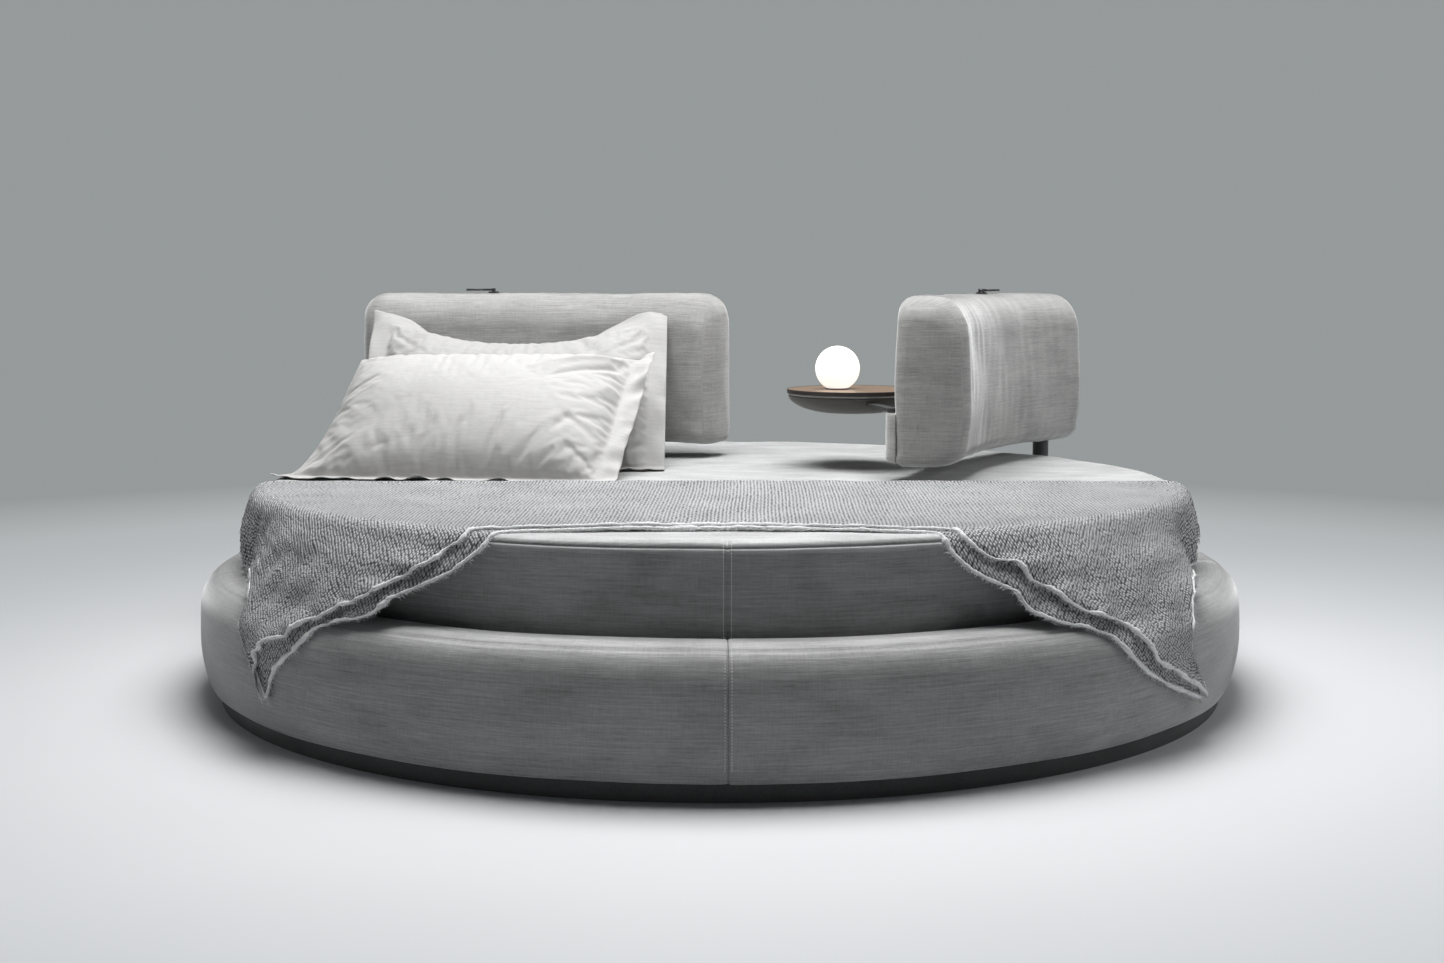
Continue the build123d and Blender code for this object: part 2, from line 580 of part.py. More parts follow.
def make_feet():
    """Three screw feet under each centre beam, each pair on one common pad."""
    with BuildPart() as feet:
        with BuildSketch(BED):
            with GridLocations(BEAM_THICKNESS, FOOT_PITCH, 1, 3):
                SlotCenterToCenter(BEAM_THICKNESS, FOOT_PAD_DIAMETER)
        extrude(amount=FOOT_PAD_HEIGHT)
        with BuildSketch(BED.offset(FOOT_PAD_HEIGHT)):
            with GridLocations(BEAM_THICKNESS, FOOT_PITCH, 2, 3):
                Circle(FOOT_STEM_DIAMETER / 2)
        extrude(amount=BEAM_BOTTOM + FOOT_STEM_GRIP - FOOT_PAD_HEIGHT)
        with BuildSketch(BED.offset(BEAM_BOTTOM)):
            with GridLocations(BEAM_THICKNESS, FOOT_PITCH, 2, 3):
                RegularPolygon(FOOT_STEM_DIAMETER, 6)
        extrude(amount=-FOOT_PAD_HEIGHT)
    save(feet.part, "levelling_feet")


def make_rail(side):
    """Rail under the middle of one side's slats."""
    reach = RAIL_OFFSET + RAIL_WIDTH / 2
    half = math.sqrt(LEDGER_RADIUS**2 - reach**2) - FIT_GAP
    with BuildPart() as rail:
        with BuildSketch(BED.offset(RAIL_BOTTOM)):
            with Locations((side * RAIL_OFFSET, 0)):
                Rectangle(RAIL_WIDTH, half * 2)
        extrude(amount=RAIL_HEIGHT)
    save(rail.part, f"mid_rail_{SIDE_NAME[side]}")


def make_legs():
    """Three turned legs with pads under each mid rail."""
    with BuildPart() as legs:
        with BuildSketch(BED):
            with GridLocations(RAIL_OFFSET * 2, SUPPORT_PITCH, 2, 3):
                Circle(LEG_PAD_DIAMETER / 2)
        extrude(amount=LEG_PAD_HEIGHT)
        with BuildSketch(BED.offset(LEG_PAD_HEIGHT)):
            with GridLocations(RAIL_OFFSET * 2, SUPPORT_PITCH, 2, 3):
                Circle(LEG_DIAMETER / 2)
        extrude(amount=RAIL_BOTTOM - LEG_PAD_HEIGHT)
    save(legs.part, "support_legs")


def make_slats(side):
    """The slats of one side, each cut to end on the ring's ledger."""
    start = BEAM_THICKNESS + FIT_GAP
    outer = (FRAME_INNER_RADIUS + LEDGER_RADIUS) / 2 + LEDGER_REACH / 4
    with BuildPart() as slats:
        with BuildSketch(BED.offset(SLAT_BOTTOM)):
            for step in range(-SLATS_EACH_WAY, SLATS_EACH_WAY + 1):
                edge = abs(step) * SLAT_PITCH + SLAT_WIDTH / 2
                end = math.sqrt(outer**2 - edge**2)
                with Locations((side * (start + end) / 2, step * SLAT_PITCH)):
                    Rectangle(end - start, SLAT_WIDTH)
        extrude(amount=SLAT_THICKNESS)
    save(slats.part, f"slats_{SIDE_NAME[side]}")


def make_beam_brackets():
    """Steel angles that tie the beam ends to the ring's inner wall."""
    wall = math.sqrt(FRAME_INNER_RADIUS**2 - (BEAM_THICKNESS + BRACKET_LEG) ** 2) - SOFT_GAP
    with BuildPart() as brackets:
        for side in (LEFT, RIGHT):
            for end in (-1, 1):
                with BuildSketch(BED.offset(BEAM_BOTTOM + BRACKET_RISE)):
                    along = side * (BEAM_THICKNESS + BRACKET_LEG / 2)
                    with Locations((along, end * (wall - BRACKET_GAUGE / 2))):
                        Rectangle(BRACKET_LEG, BRACKET_GAUGE)
                    along = side * (BEAM_THICKNESS + BRACKET_GAUGE / 2)
                    with Locations((along, end * (wall - BRACKET_LEG / 2))):
                        Rectangle(BRACKET_GAUGE, BRACKET_LEG)
                extrude(amount=BRACKET_HEIGHT)
    save(brackets.part, "beam_brackets")


def make_socket(side):
    """Steel pocket for a backrest post: tube, floor and the flange that is bolted to the ring."""
    with BuildPart() as socket:
        with BuildSketch(post_plane(side, SOCKET_BOTTOM)):
            Circle(SOCKET_DIAMETER / 2)
        extrude(amount=FRAME_TOP - SOCKET_BOTTOM)
        with BuildSketch(post_plane(side, FRAME_TOP)):
            RectangleRounded(FLANGE_WIDTH, FLANGE_LENGTH, FLANGE_CORNER)
            with GridLocations(FLANGE_BOLT_ACROSS, FLANGE_BOLT_ALONG, 2, 2):
                Circle(FLANGE_BOLT_DIAMETER / 2 + HOLE_GAP, mode=Mode.SUBTRACT)
        extrude(amount=FLANGE_GAUGE)
        with BuildSketch(post_plane(side, SOCKET_BOTTOM + SOCKET_FLOOR)):
            Circle(SOCKET_BORE / 2)
        extrude(amount=FLANGE_TOP - SOCKET_BOTTOM - SOCKET_FLOOR + OVERRUN, mode=Mode.SUBTRACT)
    save(socket.part, f"socket_{SIDE_NAME[side]}")


def make_socket_bolts():
    """Four bolts through each socket flange into the ring's top board."""
    with BuildPart() as bolts:
        for side in (LEFT, RIGHT):
            with BuildSketch(post_plane(side, FLANGE_TOP)):
                with GridLocations(FLANGE_BOLT_ACROSS, FLANGE_BOLT_ALONG, 2, 2):
                    Circle(FLANGE_BOLT_DIAMETER / 2)
            extrude(amount=-FLANGE_BOLT_GRIP)
            with BuildSketch(post_plane(side, FLANGE_TOP)):
                with GridLocations(FLANGE_BOLT_ACROSS, FLANGE_BOLT_ALONG, 2, 2):
                    Circle(FLANGE_BOLT_HEAD / 2)
            extrude(amount=FLANGE_BOLT_HEAD_HEIGHT)
    save(bolts.part, "socket_bolts")


def make_bushes(side):
    """Upper flanged bush and lower bush that a post turns in."""
    lower = SOCKET_BOTTOM + SOCKET_FLOOR
    upper = FLANGE_TOP - BUSH_LENGTH
    outer = SOCKET_BORE / 2 - RUNNING_GAP
    bore = POST_DIAMETER / 2 + RUNNING_GAP
    with BuildPart() as bushes:
        for bottom in (lower, upper):
            with BuildSketch(post_plane(side, bottom)):
                Circle(outer)
                Circle(bore, mode=Mode.SUBTRACT)
            extrude(amount=BUSH_LENGTH)
        with BuildSketch(post_plane(side, FLANGE_TOP)):
            Circle(BUSH_FLANGE_DIAMETER / 2)
            Circle(bore, mode=Mode.SUBTRACT)
        extrude(amount=BUSH_FLANGE)
    save(bushes.part, f"bushes_{SIDE_NAME[side]}")


def make_escutcheon(side):
    """Ring on the ledge that covers the hole round a post."""
    with BuildPart() as ring:
        with BuildSketch(post_plane(side, ESCUTCHEON_SEAT)):
            Circle(ESCUTCHEON_DIAMETER / 2)
            Circle(POST_DIAMETER / 2 + ESCUTCHEON_GAP, mode=Mode.SUBTRACT)
        extrude(amount=ESCUTCHEON_HEIGHT)
        fillet(ring.faces().sort_by(Axis.Z)[-1].edges().sort_by(SortBy.RADIUS)[-1], ESCUTCHEON_EDGE)
    save(ring.part, f"escutcheon_{SIDE_NAME[side]}")


def mattress_profile(inset):
    """Half section of the mattress, drawn in by an inset."""
    reach, top, bottom = MATTRESS_RADIUS - inset, MATTRESS_TOP - inset, MATTRESS_BOTTOM + inset
    edge, foot = MATTRESS_EDGE_ROUND - inset, MATTRESS_FOOT_ROUND - inset
    foot_start, foot_end = (reach - foot, bottom), (reach, bottom + foot)
    edge_start, edge_end = (reach, top - edge), (reach - edge, top)
    with BuildSketch(Plane.XZ) as profile:
        with BuildLine():
            Line((0, bottom), foot_start)
            ThreePointArc(foot_start, diagonal_point(foot_start, (reach, bottom), foot_end), foot_end)
            Line(foot_end, edge_start)
            ThreePointArc(edge_start, diagonal_point(edge_start, (reach, top), edge_end), edge_end)
            Polyline(edge_end, (0, top), (0, bottom))
        make_face()
    return profile.sketch


def make_mattress():
    """Foam core, and the fabric cover that closes round it."""
    with BuildPart() as core:
        add(mattress_profile(COVER_THICKNESS))
        revolve(axis=Axis.Z)
    save(core.part, "mattress_core")
    with BuildPart() as cover:
        add(mattress_profile(0))
        revolve(axis=Axis.Z)
        add(core.part, mode=Mode.SUBTRACT)
    save(cover.part, "mattress_cover")


def make_post(side):
    """Steel tube that carries a backrest and turns with it, with the collar that takes the weight."""
    with BuildPart() as post:
        with BuildSketch(post_plane(side, POST_BOTTOM)):
            Circle(POST_DIAMETER / 2)
        extrude(amount=POST_TOP - POST_BOTTOM)
        with BuildSketch(post_plane(side, COLLAR_BOTTOM)):
            Circle(POST_COLLAR_DIAMETER / 2)
        extrude(amount=POST_COLLAR_HEIGHT)
        with BuildSketch(post_plane(side, POST_BOTTOM)):
            Circle(POST_DIAMETER / 2 - POST_WALL)
        extrude(amount=POST_TOP - POST_BOTTOM + OVERRUN, mode=Mode.SUBTRACT)
    save(post.part, f"{SIDE_NAME[side]}_post")


def make_sleeve(side):
    """Swivel sleeve over the post, with two curved wings that the panel is bolted to."""
    with BuildPart() as sleeve:
        with BuildSketch(post_plane(side, SLEEVE_BOTTOM)):
            Circle(SLEEVE_DIAMETER / 2)
        extrude(amount=SLEEVE_TOP - SLEEVE_BOTTOM)
        for bottom in (LOWER_WING, UPPER_WING):
            with BuildSketch(Plane.XY.offset(bottom)):
                add(rest_band(side, -WING_BEFORE, WING_AFTER, -WING_INNER, -HALF_PANEL))
            extrude(amount=WING_HEIGHT)
        with BuildSketch(post_plane(side, SLEEVE_BOTTOM)):
            Circle(SLEEVE_BORE / 2)
        extrude(amount=SLEEVE_TOP - SLEEVE_BOTTOM, mode=Mode.SUBTRACT)
        for plane in rest_bolt_planes(side, -WING_INNER - OVERRUN):
            with BuildSketch(plane):
                Circle(REST_BOLT_DIAMETER / 2 + HOLE_GAP)
            extrude(amount=WING_GAUGE + OVERRUN * 2, mode=Mode.SUBTRACT)
    save(sleeve.part, f"{SIDE_NAME[side]}_sleeve")


def rest_bolt_planes(side, across):
    """Where the wing bolts pass, at a distance across the backrest."""
    return [
        rest_bolt_plane(side, WING_AFTER * share, across, bottom + WING_HEIGHT / 2)
        for share in REST_BOLT_SHARES
        for bottom in (LOWER_WING, UPPER_WING)
    ]


def make_panel(side):
    """Curved plywood panel inside a backrest, slotted for the sleeve."""
    start, end = PANEL_MARGIN - REST_BEFORE_POST, REST_AFTER_POST - PANEL_MARGIN
    slot = SLEEVE_DIAMETER / 2 + FIT_GAP
    with BuildPart() as panel:
        with BuildSketch(Plane.XY.offset(PANEL_BOTTOM)):
            add(rest_band(side, start, end, -HALF_PANEL, HALF_PANEL))
        extrude(amount=PANEL_TOP - PANEL_BOTTOM)
        with BuildSketch(Plane.XY.offset(PANEL_BOTTOM)):
            add(rest_band(side, -slot, slot, -HALF_PANEL - OVERRUN, HALF_PANEL + OVERRUN))
        extrude(amount=SLEEVE_TOP + FIT_GAP - PANEL_BOTTOM, mode=Mode.SUBTRACT)
        for plane in rest_bolt_planes(side, -HALF_PANEL - OVERRUN):
            with BuildSketch(plane):
                Circle(REST_BOLT_DIAMETER / 2 + HOLE_GAP)
            extrude(amount=PANEL_THICKNESS + OVERRUN * 2, mode=Mode.SUBTRACT)
    save(panel.part, f"{SIDE_NAME[side]}_panel")


def make_rest_bolts(side):
    """Bolts that hold the panel to the sleeve's wings."""
    with BuildPart() as bolts:
        for plane in rest_bolt_planes(side, -WING_INNER):
            with BuildSketch(plane):
                Circle(REST_BOLT_DIAMETER / 2)
            extrude(amount=WING_GAUGE + PANEL_THICKNESS)
            with BuildSketch(plane):
                Circle(REST_BOLT_HEAD / 2)
            extrude(amount=-REST_BOLT_HEAD_HEIGHT)
    save(bolts.part, f"{SIDE_NAME[side]}_rest_bolts")


def rest_section(plane, front_in, rear_in, top_in, foot_in):
    """Padded section of a backrest: crowned hollow face, soft top and a fuller front foot."""
    front, rear = HALF_REST - front_in, rear_in - HALF_REST
    top, foot = REST_TOP - top_in, REST_BOTTOM + foot_in
    soft = (front - rear) / REST_THICKNESS
    rear_foot, rear_foot_end = (rear, foot + REST_FOOT_REAR_ROUND), (rear + REST_FOOT_REAR_ROUND, foot)
    front_foot = (front - REST_FOOT_FRONT_ROUND * soft, foot)
    front_foot_end = (front, foot + REST_FOOT_FRONT_RISE)
    front_top, front_top_end = (front, top - REST_TOP_FRONT_FALL), (front - REST_TOP_FRONT_ROUND * soft, top)
    rear_top, rear_top_end = (rear + REST_TOP_REAR_ROUND * soft, top), (rear, top - REST_TOP_REAR_ROUND)
    with BuildSketch(plane) as section:
        with BuildLine():
            ThreePointArc(rear_foot, diagonal_point(rear_foot, (rear, foot), rear_foot_end), rear_foot_end)
            Line(rear_foot_end, front_foot)
            bulge = diagonal_point(front_foot, (front, foot), front_foot_end)
            ThreePointArc(front_foot, bulge, front_foot_end)
            ThreePointArc(front_foot_end, (front + REST_FRONT_CROWN * soft, (foot + top) / 2), front_top)
            ThreePointArc(front_top, diagonal_point(front_top, (front, top), front_top_end), front_top_end)
            Line(front_top_end, rear_top)
            ThreePointArc(rear_top, diagonal_point(rear_top, (rear, top), rear_top_end), rear_top_end)
            Line(rear_top_end, rear_foot)
        make_face()
    return section.sketch


def end_inset(rounding, depth):
    """How far a quarter round at a backrest's end is still drawn in, at a depth from the end."""
    left = max(rounding - depth, 0)
    return rounding - math.sqrt(rounding**2 - left**2)


def rest_body(side):
    """The closed padded form of a backrest."""
    start, end = -REST_BEFORE_POST, REST_AFTER_POST
    inner_start, inner_end = start + REST_END_TOP_ROUND, end - REST_END_TOP_ROUND
    places = [start + REST_END_TOP_ROUND * share for share in REST_END_SHARES]
    places += [inner_start + (inner_end - inner_start) * share for share in REST_MIDDLE_SHARES]
    places += [end - REST_END_TOP_ROUND * share for share in reversed(REST_END_SHARES)]
    with BuildPart() as body:
        for along in places:
            depth = min(along - start, end - along)
            add(
                rest_section(
                    rest_station(side, along),
                    end_inset(REST_END_FRONT_ROUND, depth),
                    end_inset(REST_END_REAR_ROUND, depth),
                    end_inset(REST_END_TOP_ROUND, depth),
                    end_inset(REST_END_FOOT_ROUND, depth),
                )
            )
        loft()
    return body.part


def make_cushion(side):
    """Upholstered body of a backrest, hollowed for the panel, the sleeve and the fittings."""
    start, end = PANEL_MARGIN - REST_BEFORE_POST - FIT_GAP, REST_AFTER_POST - PANEL_MARGIN + FIT_GAP
    with BuildPart() as cushion:
        add(rest_body(side))
        with BuildSketch(Plane.XY.offset(PANEL_BOTTOM - FIT_GAP)):
            add(rest_band(side, start, end, -HALF_PANEL - FIT_GAP, HALF_PANEL + FIT_GAP))
        extrude(amount=PANEL_TOP - PANEL_BOTTOM + FIT_GAP * 2, mode=Mode.SUBTRACT)
        with BuildSketch(post_plane(side, SLEEVE_BOTTOM - FIT_GAP)):
            Circle(SLEEVE_DIAMETER / 2 + FIT_GAP)
        extrude(amount=SLEEVE_TOP - SLEEVE_BOTTOM + FIT_GAP * 2, mode=Mode.SUBTRACT)
        with BuildSketch(post_plane(side, REST_BOTTOM - OVERRUN)):
            Circle(POST_DIAMETER / 2 + FIT_GAP)
        extrude(amount=SLEEVE_BOTTOM - REST_BOTTOM + OVERRUN, mode=Mode.SUBTRACT)
        for bottom in (LOWER_WING, UPPER_WING):
            with BuildSketch(Plane.XY.offset(bottom - FIT_GAP)):
                add(
                    rest_band(
                        side,
                        -WING_BEFORE - FIT_GAP,
                        WING_AFTER + FIT_GAP,
                        -WING_INNER - REST_BOLT_HEAD_HEIGHT - FIT_GAP,
                        -HALF_PANEL,
                    )
                )
            extrude(amount=WING_HEIGHT + FIT_GAP * 2, mode=Mode.SUBTRACT)
        add(light_bracket_form(side, FIT_GAP), mode=Mode.SUBTRACT)
        add(light_base_form(side, SOFT_GAP, OVERRUN), mode=Mode.SUBTRACT)
        if side == RIGHT:
            add(console_bracket_form(FIT_GAP), mode=Mode.SUBTRACT)
    save(cushion.part, f"{SIDE_NAME[side]}_cushion")


def light_plane(side, height):
    """Level plane on a reading light's swivel axis, X along the backrest."""
    return rest_plane(side, LIGHT_ALONG, -LIGHT_ACROSS, height)


def light_cross_plane(side, reach):
    """Upright plane square to a reading light's tilt axis, on one side of the knuckle."""
    level = light_plane(side, KNUCKLE_Z)
    return Plane(origin=level.origin - level.y_dir * reach, x_dir=level.x_dir, z_dir=level.y_dir)


def light_bracket_form(side, gap):
    """Angle on the panel's rear face, grown by a gap."""
    middle = rest_plane(side, LIGHT_ALONG, 0, LIGHT_BRACKET_TOP + gap)
    shelf_middle = -side * (HALF_PANEL + LIGHT_BRACKET_REACH / 2)
    leg_middle = -side * (HALF_PANEL + LIGHT_BRACKET_GAUGE / 2)
    with BuildPart() as form:
        with BuildSketch(middle):
            with Locations((0, shelf_middle)):
                Rectangle(LIGHT_BRACKET_WIDTH + gap * 2, LIGHT_BRACKET_REACH + gap * 2)
        extrude(amount=-LIGHT_BRACKET_GAUGE - gap * 2)
        with BuildSketch(middle):
            with Locations((0, leg_middle)):
                Rectangle(LIGHT_BRACKET_WIDTH + gap * 2, LIGHT_BRACKET_GAUGE + gap * 2)
        extrude(amount=-LIGHT_BRACKET_HEIGHT - gap * 2)
    return form.part


def light_base_form(side, gap, rise):
    """Recessed base disc and its stem down to the bracket, grown by a gap and taken further up."""
    with BuildPart() as form:
        with BuildSketch(light_plane(side, LIGHT_BASE_BOTTOM - gap)):
            Circle(LIGHT_BASE_DIAMETER / 2 + gap)
        extrude(amount=LIGHT_BASE_HEIGHT + gap + rise)
        with BuildSketch(light_plane(side, LIGHT_BRACKET_TOP)):
            Circle(LIGHT_STEM_DIAMETER / 2 + gap)
        extrude(amount=LIGHT_BASE_BOTTOM - LIGHT_BRACKET_TOP)
    return form.part


def make_light_bracket(side):
    """Steel angle inside the backrest that carries a reading light."""
    with BuildPart() as bracket:
        add(light_bracket_form(side, 0))
    save(bracket.part, f"{SIDE_NAME[side]}_light_bracket")


def make_light_base(side):
    """Recessed disc and stem with the swivel bore."""
    with BuildPart() as base:
        add(light_base_form(side, 0, 0))
        with BuildSketch(light_plane(side, LIGHT_BASE_TOP)):
            Circle(LIGHT_PIN_DIAMETER / 2 + RUNNING_GAP)
        extrude(amount=-LIGHT_PIN_LENGTH - FIT_GAP, mode=Mode.SUBTRACT)
    save(base.part, f"{SIDE_NAME[side]}_light_base")


def make_light_turret(side):
    """Swivel disc with its pin, two ears and the cross pin of the knuckle."""
    ear_middle = HEAD_ARM_WIDTH / 2 + KNUCKLE_SIDE_GAP + TURRET_EAR_GAUGE / 2
    with BuildPart() as turret:
        with BuildSketch(light_plane(side, TURRET_BOTTOM)):
            Circle(TURRET_DIAMETER / 2)
        extrude(amount=TURRET_HEIGHT)
        with BuildSketch(light_plane(side, TURRET_TOP)):
            with GridLocations(TURRET_EAR_WIDTH, ear_middle * 2, 1, 2):
                Rectangle(TURRET_EAR_WIDTH, TURRET_EAR_GAUGE)
        extrude(amount=TURRET_EAR_HEIGHT)
        with BuildSketch(light_plane(side, TURRET_BOTTOM)):
            Circle(LIGHT_PIN_DIAMETER / 2)
        extrude(amount=-LIGHT_PIN_LENGTH)
        with BuildSketch(light_cross_plane(side, ear_middle)):
            Circle(KNUCKLE_PIN_DIAMETER / 2)
        extrude(amount=ear_middle * 2)
    save(turret.part, f"{SIDE_NAME[side]}_light_turret")


def make_light_head(side):
    """Flat round head on its short arm, with the knuckle barrel."""
    with BuildPart() as head:
        with BuildSketch(light_plane(side, KNUCKLE_Z - HEAD_HEIGHT / 2)):
            with Locations((-HEAD_REACH, 0)):
                Circle(HEAD_DIAMETER / 2)
        extrude(amount=HEAD_HEIGHT)
        fillet(head.faces().sort_by(Axis.Z)[-1].edges(), HEAD_EDGE)
        with BuildSketch(light_plane(side, KNUCKLE_Z - HEAD_HEIGHT / 2)):
            with Locations((-HEAD_REACH / 2, 0)):
                Rectangle(HEAD_REACH, HEAD_ARM_WIDTH)
        extrude(amount=HEAD_HEIGHT)
        with BuildSketch(light_cross_plane(side, HEAD_ARM_WIDTH / 2)):
            Circle(KNUCKLE_DIAMETER / 2)
        extrude(amount=HEAD_ARM_WIDTH)
        with BuildSketch(light_cross_plane(side, HEAD_ARM_WIDTH / 2 + OVERRUN)):
            Circle(KNUCKLE_PIN_DIAMETER / 2 + RUNNING_GAP)
        extrude(amount=HEAD_ARM_WIDTH + OVERRUN * 2, mode=Mode.SUBTRACT)
    save(head.part, f"{SIDE_NAME[side]}_light_head")


def make_light_lens(side):
    """Milky lens on the underside of the head."""
    with BuildPart() as lens:
        with BuildSketch(light_plane(side, KNUCKLE_Z - HEAD_HEIGHT / 2)):
            with Locations((-HEAD_REACH, 0)):
                Circle(LENS_DIAMETER / 2)
        extrude(amount=-LENS_HEIGHT)
    save(lens.part, f"{SIDE_NAME[side]}_light_lens")


def pivot_plane(height):
    """Level plane on the tray's pivot, X towards the middle of the tray."""
    towards = (TRAY_CENTRE_X - PIVOT_X, TRAY_CENTRE_Y - PIVOT_Y, 0)
    return Plane(origin=(PIVOT_X, PIVOT_Y, height), x_dir=towards)


def console_bracket_form(gap):
    """Curved plate on the panel, arm and pivot tube, grown by a gap."""
    plate_end = REST_AFTER_POST - PANEL_MARGIN - WING_GAUGE
    arm_length = PIVOT_ACROSS - HALF_PANEL - PIVOT_PIN_DIAMETER / 2 - FIT_GAP
    with BuildPart() as form:
        with BuildSketch(Plane.XY.offset(PIVOT_TUBE_BOTTOM - gap)):
            add(
                rest_band(
                    RIGHT,
                    plate_end - CONSOLE_PLATE_LENGTH - gap,
                    plate_end + gap,
                    -WING_INNER - gap,
                    -HALF_PANEL,
                )
            )
        extrude(amount=CONSOLE_PLATE_HEIGHT + gap * 2)
        with BuildSketch(rest_plane(RIGHT, CONSOLE_ALONG, 0, PIVOT_TUBE_BOTTOM + CONSOLE_ARM_RISE - gap)):
            with Locations((0, -HALF_PANEL - arm_length / 2)):
                Rectangle(CONSOLE_ARM_GAUGE + gap * 2, arm_length)
        extrude(amount=CONSOLE_ARM_HEIGHT + gap * 2)
        with BuildSketch(pivot_plane(PIVOT_TUBE_BOTTOM - gap)):
            Circle(PIVOT_TUBE_DIAMETER / 2 + gap)
        extrude(amount=CONSOLE_TOP + SOFT_GAP - PIVOT_TUBE_BOTTOM + gap)
    return form.part


def make_console_bracket():
    """Steel bracket of the console: plate on the panel, arm, pivot tube and its top plate."""
    with BuildPart() as bracket:
        add(console_bracket_form(0))
        with BuildSketch(pivot_plane(CONSOLE_TOP + SOFT_GAP)):
            Circle(PIVOT_PLATE_DIAMETER / 2)
        extrude(amount=PIVOT_PLATE_HEIGHT)
        with BuildSketch(pivot_plane(PIVOT_TUBE_BOTTOM)):
            Circle(PIVOT_PIN_DIAMETER / 2 + RUNNING_GAP)
        extrude(amount=PIVOT_PLATE_TOP - PIVOT_TUBE_BOTTOM + OVERRUN, mode=Mode.SUBTRACT)
    save(bracket.part, "console_bracket")


def make_console_pad():
    """Upholstered half pillar round the pivot, standing proud of the backrest's rear face."""
    with BuildPart() as pad:
        with BuildSketch(Plane.XY.offset(CONSOLE_BOTTOM)):
            with Locations(rest_point(RIGHT, CONSOLE_ALONG, CONSOLE_INSET - HALF_REST)):
                Circle(CONSOLE_RADIUS)
            add(
                rest_band(
                    RIGHT,
                    CONSOLE_ALONG - CONSOLE_RADIUS * 2,
                    CONSOLE_ALONG + CONSOLE_RADIUS * 2,
                    -HALF_REST - CONSOLE_GAP,
                    HALF_REST,
                ),
                mode=Mode.SUBTRACT,
            )
        extrude(amount=CONSOLE_TOP - CONSOLE_BOTTOM)
        fillet(pad.faces().sort_by(Axis.Z)[0].edges().sort_by(SortBy.LENGTH)[-1], CONSOLE_ROUND)
        add(console_bracket_form(SOFT_GAP), mode=Mode.SUBTRACT)
    save(pad.part, "console_pad")


def tray_plane(height):
    """Level plane on the middle of the tray."""
    return Plane(origin=(TRAY_CENTRE_X, TRAY_CENTRE_Y, height))


def make_tray_arm():
    """Flat arm from the pivot pin to the hub that carries the board."""
    pivot = pivot_plane(TRAY_ARM_BOTTOM)
    reach = math.hypot(TRAY_CENTRE_X - pivot.origin.X, TRAY_CENTRE_Y - pivot.origin.Y)
    with BuildPart() as arm:
        with BuildSketch(pivot):
            Circle(PIVOT_PLATE_DIAMETER / 2)
            with Locations((reach / 2, 0)):
                Rectangle(reach, TRAY_ARM_WIDTH - FIT_GAP * 2)
            with Locations((reach, 0)):
                Circle(TRAY_HUB_DIAMETER / 2)
        extrude(amount=TRAY_ARM_GAUGE)
        with BuildSketch(tray_plane(TRAY_ARM_TOP)):
            Circle(TRAY_HUB_BOSS / 2)
        extrude(amount=BOARD_BOTTOM - TRAY_ARM_TOP)
        with BuildSketch(pivot):
            Circle(PIVOT_PIN_DIAMETER / 2)
        extrude(amount=-PIVOT_PIN_LENGTH)
    save(arm.part, "tray_arm")


def make_tray_board():
    """Round board of the tray."""
    with BuildPart() as board:
        with BuildSketch(tray_plane(BOARD_BOTTOM)):
            Circle(TRAY_RADIUS - TRAY_BAND - TRAY_BOARD_GAP)
        extrude(amount=TRAY_BOARD)
    save(board.part, "tray_board")


def make_tray_band():
    """Thin metal band round the board, with the lip that the board lies on."""
    with BuildPart() as band:
        with BuildSketch(tray_plane(BAND_LIP_BOTTOM)):
            Circle(TRAY_RADIUS)
            Circle(TRAY_RADIUS - TRAY_BAND, mode=Mode.SUBTRACT)
        extrude(amount=TRAY_TOP + TRAY_BAND_PROUD - BAND_LIP_BOTTOM)
        with BuildSketch(tray_plane(BAND_LIP_BOTTOM)):
            Circle(TRAY_RADIUS)
            Circle(TRAY_RADIUS - TRAY_BAND - TRAY_BAND_LIP, mode=Mode.SUBTRACT)
        extrude(amount=TRAY_BAND_LIP_HEIGHT)
    save(band.part, "tray_band")


def make_tray_pad():
    """Upholstered dish under the board, open along the top for the arm and its hub."""
    reach = TRAY_RADIUS - TRAY_PAD_INSET
    fall = TRAY_PAD_DEPTH - TRAY_PAD_EDGE
    sweep = (reach**2 + fall**2) / (fall * 2)
    half_fall = sweep - math.sqrt(sweep**2 - (reach / 2) ** 2)
    bottom = TRAY_PAD_TOP - TRAY_PAD_DEPTH
    arm = pivot_plane(TRAY_ARM_BOTTOM - FIT_GAP)
    length = math.hypot(TRAY_CENTRE_X - arm.origin.X, TRAY_CENTRE_Y - arm.origin.Y)
    with BuildPart() as pad:
        with BuildSketch(Plane(origin=(TRAY_CENTRE_X, TRAY_CENTRE_Y, 0), x_dir=(1, 0, 0), z_dir=(0, -1, 0))):
            with BuildLine():
                Polyline((0, bottom), (0, TRAY_PAD_TOP), (reach, TRAY_PAD_TOP), (reach, bottom + fall))
                ThreePointArc((reach, bottom + fall), (reach / 2, bottom + half_fall), (0, bottom))
            make_face()
        revolve(axis=Axis(origin=(TRAY_CENTRE_X, TRAY_CENTRE_Y, 0), direction=(0, 0, 1)))
        with BuildSketch(arm):
            with Locations((length / 2, 0)):
                Rectangle(length, TRAY_ARM_WIDTH)
            with Locations((length, 0)):
                Circle(TRAY_HUB_DIAMETER / 2 + FIT_GAP)
        extrude(amount=TRAY_PAD_TOP - TRAY_ARM_BOTTOM + FIT_GAP + OVERRUN, mode=Mode.SUBTRACT)
    save(pad.part, "tray_pad")


